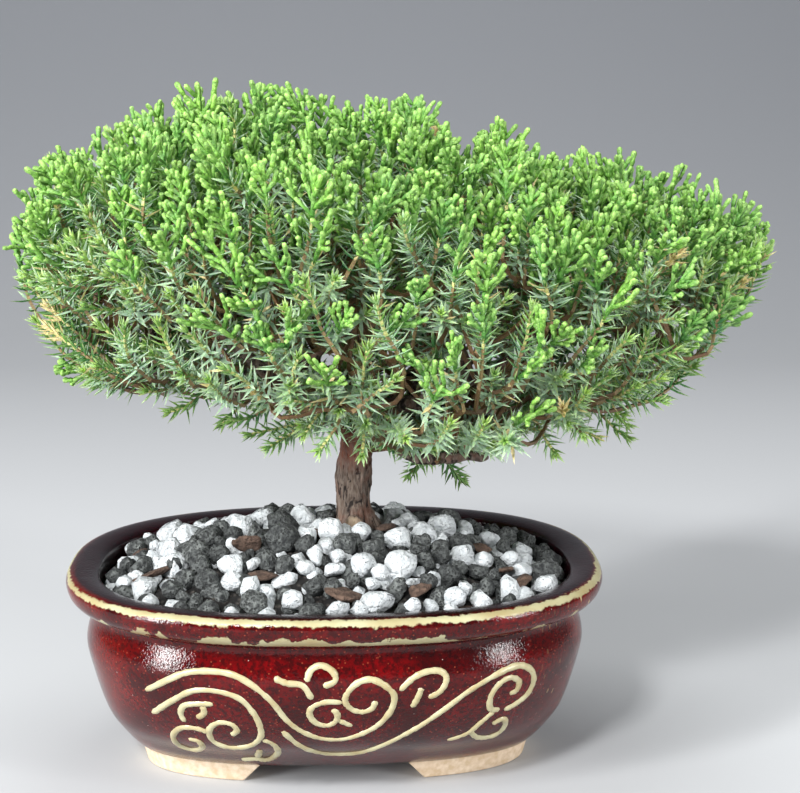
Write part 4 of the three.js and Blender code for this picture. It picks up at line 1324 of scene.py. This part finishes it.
def leaf_finish(name, old, fresh, point, bloomed, roughness, scale_size, groove_shade_and_depth):
    made, tree, shader, where = material(name, roughness, specular=0.35)
    values = attribute(tree, "growth")
    parts = split(tree, "Color", values.outputs["Color"])
    age, tint, along, brown = parts["Red"], parts["Green"], parts["Blue"], values.outputs["Alpha"]
    upper = attribute(tree, "upper_face").outputs["Fac"]
    cloud = pattern(tree, CLOUDS, where, scale=60, detail=3, low=0.35, high=0.65)
    scales = pattern(tree, CLOUDS, where, scale=scale_size, detail=3, low=0.36, high=0.62)
    leaf = blend_colours(tree, age, colour(*old), colour(*fresh))
    leaf = lay_over(tree, leaf, tint, COOLER_AMOUNT, COOLER)
    leaf = lay_over(tree, leaf, cloud, WARMER_AMOUNT, WARMER)
    leaf = lay_over(tree, leaf, ramp(tree, along, *POINT_FROM), POINT_AMOUNT, colour(*point))
    leaf = lay_over(tree, leaf, upper, ramp(tree, age, *BLOOM_BY_AGE), colour(*bloomed))
    leaf = blend_colours(tree, ramp(tree, brown, 0.0, 0.5), leaf, STRAW)
    leaf = blend_colours(tree, ramp(tree, brown, 0.5, 1.0), leaf, DEAD)
    # Painted shade: the grooves between the scales, where the relief is low, are darkened as shade would fall
    # in them.
    leaf = lay_over(tree, leaf, ramp(tree, scales, 0, 1, 1, 0), groove_shade_and_depth, GROOVE_SHADE)
    tree.links.new(leaf, shader.inputs["Base Color"])
    shader.inputs["Subsurface Weight"].default_value = LIGHT_INSIDE
    shader.inputs["Subsurface Radius"].default_value = LIGHT_COLOURS
    shader.inputs["Subsurface Scale"].default_value = LIGHT_DEPTH * MM
    bump(tree, shader, scales, 0.1 + 0.5 * groove_shade_and_depth, 0.9)
    return made


# %% The two finishes of the foliage
needle_finish = leaf_finish(
    "juniper_needles", old=(64, 122, 78), fresh=(146, 180, 82), point=(204, 224, 150),
    bloomed=(208, 232, 208), roughness=0.36, scale_size=1500, groove_shade_and_depth=0.15,
)
tip_finish = leaf_finish(
    "juniper_scaly_tips", old=(72, 128, 52), fresh=(138, 190, 82), point=(184, 222, 128),
    bloomed=(150, 200, 90), roughness=0.42, scale_size=620, groove_shade_and_depth=0.55,
)

# %% [markdown]
# ## Leafing out the shoots
# Needles stand in whorls of three, each whorl turned half a gap from the last, square to the stem low down
# and leaning forward near the tip. Low down every second whorl is left out. A shoot with a fan stops its
# needles early and forks into flat, scaly fingers: a middle rod with side fingers left and right that all
# turn up, and shorter ones on those.

# %% One copy of a master, and one joint of a stem
FACING_UP = UP + 0.01  # never quite along an upright stem


def new_bed():
    return {"needles": [], "joints": [], "fingers": []}


def lay(rows, place, direction, facing, sizes, values):
    """Sizes are the width, thickness and length in mm, values the age, tint and brown."""
    rows.append((place, direction, facing, *sizes, *values))


def lay_joint(bed, start, step, radius, overlap, values):
    length = np.linalg.norm(step) + overlap
    lay(bed["joints"], start, step, FACING_UP, (radius, radius, length), values)


# %% A whorl of needles
NEEDLE_LENGTH, TIP_SHORTER, NEEDLE_THICKNESS = 8.9, 3.2, 1.2
NEEDLE_WIDTH, INNER_WIDTH, INNER_LONGER, FIRST_SHORTER = 1.22, 1.6, 1.2, 0.75
LENGTHS, WIDTHS = (0.84, 1.1), (0.88, 1.12)
TURN_NOISE, LEAN_NOISE, AGE_NOISE = 0.16, 0.13, 0.12
FRESH_FROM, FRESH_OVER = 0.35, 0.75
DRY_FROM, DRY, STRAY = 0.72, 0.45, 0.42
STRAY_ODDS = {"fan": 0.05, "needle": 0.015, "inner": 0.015}


def brown_at(shoot, share):
    """How brown a needle is: dry shoots are straw near the end, and a stray needle is anywhere."""
    if shoot["dry"] and share > DRY_FROM:
        return DRY
    return STRAY if rng.random() < STRAY_ODDS[shoot["kind"]] else 0.0


def lay_whorl(bed, shoot, k, axis, first, lean, share):
    """Three needles round the stem at one point of its line."""
    dark = shoot["kind"] == "inner"
    for j in range(3):
        a = j * 2 * math.pi / 3 + rng.normal() * TURN_NOISE
        out = first * math.cos(a) + np.cross(axis, first) * math.sin(a)
        tip = lean + rng.normal() * LEAN_NOISE
        direction = axis * math.cos(tip) + out * math.sin(tip)
        length = (NEEDLE_LENGTH - TIP_SHORTER * share**2) * rng.uniform(*LENGTHS)
        length *= FIRST_SHORTER if k < 3 else 1
        length *= INNER_LONGER if dark else 1
        age = 0.0 if dark else min(1, max(0, (share - FRESH_FROM) / FRESH_OVER + rng.normal() * AGE_NOISE))
        brown = brown_at(shoot, share)
        width = (INNER_WIDTH if dark else NEEDLE_WIDTH) * rng.uniform(*WIDTHS)
        sizes = (width, NEEDLE_THICKNESS, length)
        lay(bed["needles"], shoot["line"][k], direction, axis, sizes, (age, shoot["tint"], brown))


# %% A fan of scaly fingers
FINGER_FLATNESS, FINGER_FORK = 0.88, 0.93
TALL_FAN, TURNED_UP, OUTER = 14, 5, 3  # a height in mm, and how many side rods carry each finger more
MIDDLE_RADIUS, MIDDLE_END_RADIUS = 0.92, 0.98
SIDE_RADIUS, UP_TURNED_RADIUS, OUTER_RADIUS = 0.86, 0.94, 0.88
FAN_CHANGE, ROD_CHANGE = (0.88, 1.12), (0.82, 1.15)
FIRST_ROD, RODS_OVER = 0.06, 0.66  # shares of the fan's height
ROD_LEAN, ROD_LEAN_LOST, ROD_NOISE, OUT_OF_FLAT = 43, 17, 0.1, 0.3
ROD_LENGTH, ROD_SHORTER = 0.4, 0.14


def lay_fan(bed, shoot, base, axis):
    """A flat fan: a middle rod, side rods that turn up beside it, and short fingers on their outer sides."""
    height = shoot["height"] * rng.uniform(*FAN_CHANGE)
    flat = side_of(axis, rng.random() * math.pi * 2)
    face = np.cross(axis, flat)

    def finger(start, heading, length, radius, age):
        heading = unit(heading)
        sizes = (radius, radius * FINGER_FLATNESS, length)
        lay(bed["fingers"], start, heading, face, sizes, (age, shoot["tint"], 0.0))
        return start + heading * length * FINGER_FORK, heading

    middle, _ = finger(base - axis, axis, height * 0.55, MIDDLE_RADIUS, 0.2)
    finger(middle, axis + flat * rng.normal() * 0.12, height * 0.5, MIDDLE_END_RADIUS, 0.9)
    side = 1 if rng.random() < 0.5 else -1
    number = 7 if height > TALL_FAN else 6
    for k in range(number):
        share = FIRST_ROD + RODS_OVER * k / (number - 1)
        side = -side
        lean = math.radians(ROD_LEAN - ROD_LEAN_LOST * share) + rng.normal() * ROD_NOISE
        heading = axis * math.cos(lean) + flat * side * math.sin(lean)
        heading = heading + face * rng.normal() * OUT_OF_FLAT
        length = height * (ROD_LENGTH - ROD_SHORTER * share) * rng.uniform(*ROD_CHANGE)
        start = base + axis * height * share
        bend, heading = finger(start, heading, length, SIDE_RADIUS, 0.35 + 0.4 * share)
        if k < TURNED_UP:
            up_turned = heading + axis * 1.2 + face * rng.normal() * 0.25
            finger(bend, up_turned, length * rng.uniform(0.7, 1.0), UP_TURNED_RADIUS, 0.95)
        if k < OUTER:
            outer = heading + flat * side * 0.35 + face * rng.normal() * 0.4
            finger(bend - heading * length * 0.3, outer, length * 0.75, OUTER_RADIUS, 0.85)


# %% A whole shoot
FAN_FROM, SPARSE_BELOW = 0.74, 0.34  # shares of a shoot's length
LOW_LEAN, LEAN_LOST = 74, 34  # degrees
TUFT, TUFT_TURN, TUFT_SIZES = 5, 1.257, (1.1, 0.9, 4.4)
STEM_RADIUS, STEM_LOSS, STEM_OVERLAP = 0.75, 0.25, 0.2
WOODY, YOUNG, WOODY_POINTS = 0.85, 0.3, 6
BARE_RADIUS, BARE_OVERLAP, BARE_VALUES = 0.85, 0.3, (0.5, 0.5, 0.95)


def lay_tuft(bed, shoot, heading, turn):
    """The short needles that close a shoot's end."""
    brown = DRY if shoot["dry"] else 0.0
    for j in range(TUFT):
        out = side_of(heading, turn + j * TUFT_TURN)
        values = (1.0, shoot["tint"], brown)
        lay(bed["needles"], shoot["line"][-1], unit(heading + out * 0.3), out, TUFT_SIZES, values)


def lay_shoot(shoot):
    line, kind = shoot["line"], shoot["kind"]
    share_end = FAN_FROM if kind == "fan" else 1.0
    headings = unit(np.gradient(line, axis=0))
    count, bed, turn = len(line), new_bed(), rng.random() * math.pi
    for k in range(1, count, 2 if kind == "inner" else 1):
        share = k / (count - 1)
        if share > share_end:
            break
        if share < SPARSE_BELOW and k % 2:
            continue
        first = side_of(headings[k], turn + (k % 2) * math.pi / 3)
        lean = math.radians(LOW_LEAN - LEAN_LOST * share**2)
        lay_whorl(bed, shoot, k, headings[k], first, lean, share)
    if kind == "needle":
        lay_tuft(bed, shoot, headings[-1], turn)
    last = int(share_end * (count - 1))
    for k in range(0, last, 2):
        step = line[min(k + 2, last)] - line[k]
        radius = STEM_RADIUS - STEM_LOSS * k / count
        brown = YOUNG if k > WOODY_POINTS and kind != "inner" else WOODY
        lay_joint(bed, line[k], step, radius, STEM_OVERLAP, (1.0, 0.2, brown))
    if kind == "fan":
        lay_fan(bed, shoot, line[last], unit(line[-1] - line[last] + headings[last] * 3))
    return bed


def lay_bare(shoot):
    line, bed = shoot["line"], new_bed()
    for start, end in zip(line, line[1:]):
        lay_joint(bed, start, end - start, BARE_RADIUS, BARE_OVERLAP, BARE_VALUES)
    return bed


# %% Bare twigs that join the shoots of the skin to the nearest stem
SHORT_GAP, TWIG_SAG, TWIG_LIFT, TWIG_DRAWN = 2, 0.4, 2, 0.25
for number, start, direction in links:
    stem = stem_lines[number]
    nearest = stem[int(np.argmin(np.linalg.norm(stem - start, axis=1)))]
    gap = np.linalg.norm(nearest - start)
    middle = start - direction * TWIG_SAG * gap + UP * TWIG_LIFT + (nearest - start) * TWIG_DRAWN
    middle += rng.normal(size=3)
    if gap > SHORT_GAP:
        add_shoot(number, smooth_rows([nearest, middle, start], 3), "bare")

# %% Copies of a master, without those that would leave the frame's box
MARGIN = 0.25
inside_low, inside_high = np.array(cad_low) / MM + MARGIN, np.array(cad_high) / MM - MARGIN


def batch_of(master, rows, lit=None):
    """Points, faces and values of all copies in the rows. Lit says which faces are upper ones."""
    corners = master[0]
    if not rows:
        return np.zeros((0, len(corners), 3)), master[1], np.zeros((0, len(corners), 4)), lit
    table = [np.array([row[i] for row in rows], float) for i in range(len(rows[0]))]
    points, faces = copies(master, table[0], frames(table[1], table[2]), np.column_stack(table[3:6]))
    keep = np.all((points >= inside_low) & (points <= inside_high), axis=(1, 2))
    along = corners[:, 2] / max(corners[:, 2])
    shape = points.shape[:2]
    values = [np.broadcast_to(column[:, None], shape) for column in table[6:]]
    values.insert(2, np.broadcast_to(along[None], shape))
    return points[keep], faces, np.stack(values, axis=2)[keep], lit


def mark_upper_faces(obj, batches):
    flags = []
    for points, faces, _, lit in batches:
        flags.append(np.tile(np.array(lit if lit is not None else [0] * len(faces), float), len(points)))
    marks = obj.data.attributes.new("upper_face", "FLOAT", "FACE")
    marks.data.foreach_set("value", np.concatenate(flags).astype(np.float32))


def put_on_tree(name, batches, finish, smooth, node):
    piece = write_mesh(name, [b[:3] for b in batches], finish, smooth)
    mark_upper_faces(piece, batches)
    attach(piece, "root")
    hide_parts(node)
    return len(batches[0][0])


# %% Writing the sprays as pieces
beds = [new_bed() for _ in sprays]
for shoot in shoots:
    bed = lay_bare(shoot) if shoot["kind"] == "bare" else lay_shoot(shoot)
    for kind, rows in bed.items():
        beds[shoot["spray"]][kind] += rows
totals = {"needles": 0, "fingers": 0}
for i, (spray, bed) in enumerate(zip(sprays, beds), 1):
    node = spray["name"]
    batches = [batch_of(NEEDLE, bed["needles"], PALE_FACES), batch_of(JOINT, bed["joints"])]
    totals["needles"] += put_on_tree(f"foliage_{i:02d}", batches, needle_finish, False, node)
    if spray["fan"]:
        node = node.replace("needle_spray", "tip_fan")
        batches = [batch_of(FINGER, bed["fingers"])]
        totals["fingers"] += put_on_tree(f"tips_{i:02d}", batches, tip_finish, True, node)
print("copies kept:", totals)

# %% [markdown]
# ## Trunk, limbs and twigs
# The wood is one grown piece: the trunk with the flare of its roots, the limbs, a twig to the root of every
# spray, a knob on the trunk and a pale torn stub at its top. Its lines are laid as curves with a round
# bevel that tapers, all joined and then melted together by a voxel remesh, which gives soft crotches like
# real ones. After that the bark is raised: long upright plates with deep cracks on the trunk, fine ridges
# on the limbs.

# %% Bark, which reads from its own attribute the relief in red, reddish bark in green and bare wood in blue
CRACK_SHADE_RANGE = (0.3, 0.06)
bark, tree, shader, where = material("flaking_bark", 0.9)
upright = drawn_upright(tree, where, 0.28)
plates = pattern(tree, CLOUDS, upright, scale=330, detail=5, low=0.36, high=0.64)
fibres = pattern(tree, CLOUDS, upright, scale=1100, detail=3, low=0.35, high=0.65)
rust = pattern(tree, CLOUDS, where, scale=130, detail=3, low=0.5, high=0.7)
parts = split(tree, "Color", attribute(tree, "raised").outputs["Color"])
reddish = blend_colours(tree, fibres, colour(150, 74, 50), colour(96, 44, 32))
bare_wood = blend_colours(tree, fibres, colour(214, 194, 160), colour(176, 150, 116))
wood = blend_colours(tree, plates, colour(58, 46, 39), colour(100, 84, 73))
wood = lay_over(tree, wood, fibres, 0.5, colour(138, 126, 116))
wood = lay_over(tree, wood, rust, 0.4, colour(112, 62, 44))
# Painted shade: the bark is darkened to near black where its relief is lowest, in the cracks, as shade would
# fall there.
wood = blend_colours(tree, ramp(tree, parts["Red"], *CRACK_SHADE_RANGE), wood, colour(34, 25, 21))
wood = blend_colours(tree, parts["Green"], wood, reddish)
wood = blend_colours(tree, parts["Blue"], wood, bare_wood)
tree.links.new(wood, shader.inputs["Base Color"])
relief = math_node(tree, "ADD", plates, math_node(tree, "MULTIPLY", fibres, 0.5))
bump(tree, shader, relief, 0.5, 0.8)

# %% One rod of the wood


def branch(points, radii):
    """A tapering round rod along points in the pot's own millimetres."""
    deselect()
    bpy.ops.curve.primitive_nurbs_path_add()
    rod = bpy.context.object
    rod.data.splines.clear()
    line = rod.data.splines.new("POLY")
    line.points.add(len(points) - 1)
    for point, place, radius in zip(line.points, points, radii):
        point.co = (*pot_point(*place), 1)
        point.radius = radius
    rod.data.bevel_depth = MM
    rod.data.bevel_resolution = 4
    rod.data.use_fill_caps = True
    return rod


def taper(radii, count, power=1.0):
    """Radii along a line, from the first one to the last one."""
    return radii[0] + (radii[1] - radii[0]) * np.linspace(0, 1, count) ** power


# %% Trunk and limbs
TRUNK_RADII, LIMB_RADII, TAPER = (8.6, 5.5), (3.9, 1.9), 0.8
LIMB_WAVER = 0.5
LIMBS = [  # the share of the trunk where one starts, a point on its way, and its end
    (0.93, (-14, -5, 140), (-70, -12, 154)), (0.97, (52, 4, 143), (106, 8, 176)),
    (0.95, (-13, -23, 147), (-38, -44, 172)), (0.96, (34, -25, 146), (72, -44, 170)),
    (0.95, (-16, 27, 148), (-42, 44, 176)), (0.96, (36, 27, 147), (74, 44, 174)),
    (1.0, (11, 4, 152), (22, 2, 190)), (0.86, (30, -8, 121), (56, -16, 123)),
]
foot, top = np.array(TRUNK_FOOT, float), np.array(TRUNK_TOP, float)
trunk_line = smooth_rows([foot, foot + (top - foot) * 0.55 + (-1.5, 0.5, 0), top, top + (0.8, 0, 8)], 10)
rods = [branch(trunk_line, taper(TRUNK_RADII, len(trunk_line), TAPER))]
limb_lines = []
for start, through, end in LIMBS:
    first = trunk_line[int(start * (len(trunk_line) - 1))]
    line = smooth_rows([first, through, end], 10)
    line[1:-1] += rng.normal(size=(len(line) - 2, 3)) * LIMB_WAVER
    limb_lines.append(line)
    rods.append(branch(line, taper(LIMB_RADII, len(line), TAPER)))

# %% A twig to the root of every spray, from the nearest point of a limb
TWIG_RADII, TWIG_WAVER, INTO_SPRAY = (1.9, 1.15), 2.5, 4
FIRST_POINT, TOWARDS_LIMB_END = 4, 0.15


def fork_for(root):
    """The limb and its point that lie nearest to a root, with a small preference for the limb's end."""
    forks = []
    for n, line in enumerate(limb_lines):
        for k in range(FIRST_POINT, len(line)):
            away = np.linalg.norm(line[k] - root) + TOWARDS_LIMB_END * abs(k - len(line))
            forks.append((away, n, k))
    _, n, k = min(forks)
    return limb_lines[n][k]


for spray in sprays:
    root = spray["root"] - pot_shift
    fork = fork_for(root)
    middle = (fork + root) / 2 + rng.normal(size=3) * TWIG_WAVER
    line = smooth_rows([fork, middle, root, root + spray["axis"] * INTO_SPRAY], 6)
    rods.append(branch(line, taper(TWIG_RADII, len(line))))

# %% Root flare, knob and torn stub, and all rods melted into one piece
ROOT_FLARE = [(-9, -6, 7), (9, -6, 6), (-8, 7, 6), (8, 8, 6), (-1, -9, 8)]
FLARE_START, FLARE_MIDDLE, FLARE_END = 34, 25, 18  # heights over the trunk's foot
FLARE_SHARE, FLARE_RADIUS = 0.55, 5
KNOB, KNOB_RADII = [(7.5, 0, 92), (6.5, -6.5, 93.5)], [3.4, 3.4, 3.3, 3]
STUB, STUB_RADII = [(6, 1, 127), (1.5, -4, 131), (-1.5, -7, 134.5)], (2.6, 1.9)
VOXEL = 0.8
for x, y, radius in ROOT_FLARE:
    middle = foot + (x * FLARE_SHARE, y * FLARE_SHARE, FLARE_MIDDLE)
    line = smooth_rows([foot + (0, 0, FLARE_START), middle, foot + (x, y, FLARE_END)], 5)
    rods.append(branch(line, np.linspace(FLARE_RADIUS, radius * FLARE_SHARE, len(line))))
stub_line = smooth_rows(STUB, 3)
rods.append(branch(smooth_rows(KNOB, 3), KNOB_RADII))
rods.append(branch(stub_line, np.linspace(*STUB_RADII, len(stub_line))))
deselect()
for rod in rods:
    rod.select_set(True)
bpy.context.view_layer.objects.active = rods[0]
bpy.ops.object.convert(target="MESH")
bpy.ops.object.join()
wood_piece = bpy.context.object
wood_piece.name = "tree_wood"
bpy.ops.object.transform_apply(location=True, rotation=True, scale=True)
melt = wood_piece.modifiers.new("melt", "REMESH")
melt.mode = "VOXEL"
melt.voxel_size = VOXEL * MM
melt.use_smooth_shade = True
bpy.ops.object.modifier_apply(modifier=melt.name)
print("wood faces:", len(wood_piece.data.polygons))

# %% Where the thick bark of the trunk is


def above(value, limit, soft):
    return np.clip((value - limit) / soft, 0, 1)


def below(value, limit, soft):
    return np.clip((limit - value) / soft, 0, 1)


mesh = wood_piece.data
places = np.empty(len(mesh.vertices) * 3)
normals = np.empty(len(mesh.vertices) * 3)
mesh.vertices.foreach_get("co", places)
mesh.vertex_normals.foreach_get("vector", normals)
places, normals = places.reshape(-1, 3) / MM, normals.reshape(-1, 3)
local = places - pot_shift
height = local[:, 2]
axis_x = np.interp(height, trunk_line[:, 2], trunk_line[:, 0])
axis_y = np.interp(height, trunk_line[:, 2], trunk_line[:, 1])
from_axis = np.hypot(local[:, 0] - axis_x, local[:, 1] - axis_y)
thick = below(height, 150, 20) * below(from_axis, 24, 8)

# %% Plates with cracks on the trunk, fine ridges on the limbs
WARP, GIRTH, PLATE_WIDTH, PLATE_LENGTH, CRACK_SHARPNESS = 2.2, 8, 2.1, 13, 4
RIDGE, NO_PLATES = 1.6, 0.05
CRACK_SHARE, FINE_SHARE = 0.6, 0.5
RELIEF_ON_LIMBS, RELIEF_ON_TRUNK, LUMPS = 0.22, 0.62, 1.6


def crack_at(x, y, z, around, plated):
    """0 in a crack and 1 on a plate, or soft ridges where there are no plates."""
    if not plated:
        return 0.5 + 0.5 * noise.noise((x / RIDGE, y / RIDGE, z / RIDGE))
    warp = noise.noise((x / 9, y / 9, z / 14)) * WARP
    plate = ((around + warp) / PLATE_WIDTH, warp * 0.5, (z + warp * 2) / PLATE_LENGTH)
    distances, _ = noise.voronoi(plate)
    return min(1, (distances[1] - distances[0]) * CRACK_SHARPNESS)


raised_by = np.empty(len(local))
for i, (x, y, z) in enumerate(local):
    around = math.atan2(y - axis_y[i], x - axis_x[i]) * GIRTH
    fine = noise.fractal((x / 1.7, y / 1.7, z / 5), 0.7, 2.1, 4)
    raised_by[i] = crack_at(x, y, z, around, thick[i] > NO_PLATES) * CRACK_SHARE + fine * FINE_SHARE
lumps = np.array([noise.noise((x / 11, y / 11, z / 16)) for x, y, z in local]) * LUMPS * thick
shift = (raised_by - 0.5) * (RELIEF_ON_LIMBS + RELIEF_ON_TRUNK * thick)
moved = places + normals * (shift + lumps)[:, None]
mesh.vertices.foreach_set("co", (moved * MM).ravel())
mesh.update()

# %% What the bark's finish reads
REDDISH, TORN, WORN = 0.45, 0.8, 0.3
from_stub = np.linalg.norm(local - np.array(STUB[-1]), axis=1)
from_knob = np.linalg.norm(local - np.array(KNOB[-1]), axis=1)
colours = np.ones((len(local), 4))
colours[:, 0] = np.clip(raised_by, 0, 1)
colours[:, 1] = above(height, 112, 8) * below(height, 136, 6) * below(from_axis, 20, 5) * REDDISH
colours[:, 2] = below(from_stub, 4.5, 1.5) * TORN + below(from_knob, 3.6, 1.5) * WORN
marks = mesh.attributes.new("raised", "FLOAT_COLOR", "POINT")
marks.data.foreach_set("color", colours.astype(np.float32).ravel())
mesh.materials.append(bark)
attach(wood_piece, "root")
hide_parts("trunk_and_branches")

# %% [markdown]
# ## Size
# The finer pieces are meant to stay inside the frame's box. Both boxes are printed, in mm.

# %% Print the boxes and finish
low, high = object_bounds()
print("frame:", [round(v / MM, 1) for v in (*cad_low, *cad_high)])
print("visual:", [round(v / MM, 1) for v in (*low, *high)])
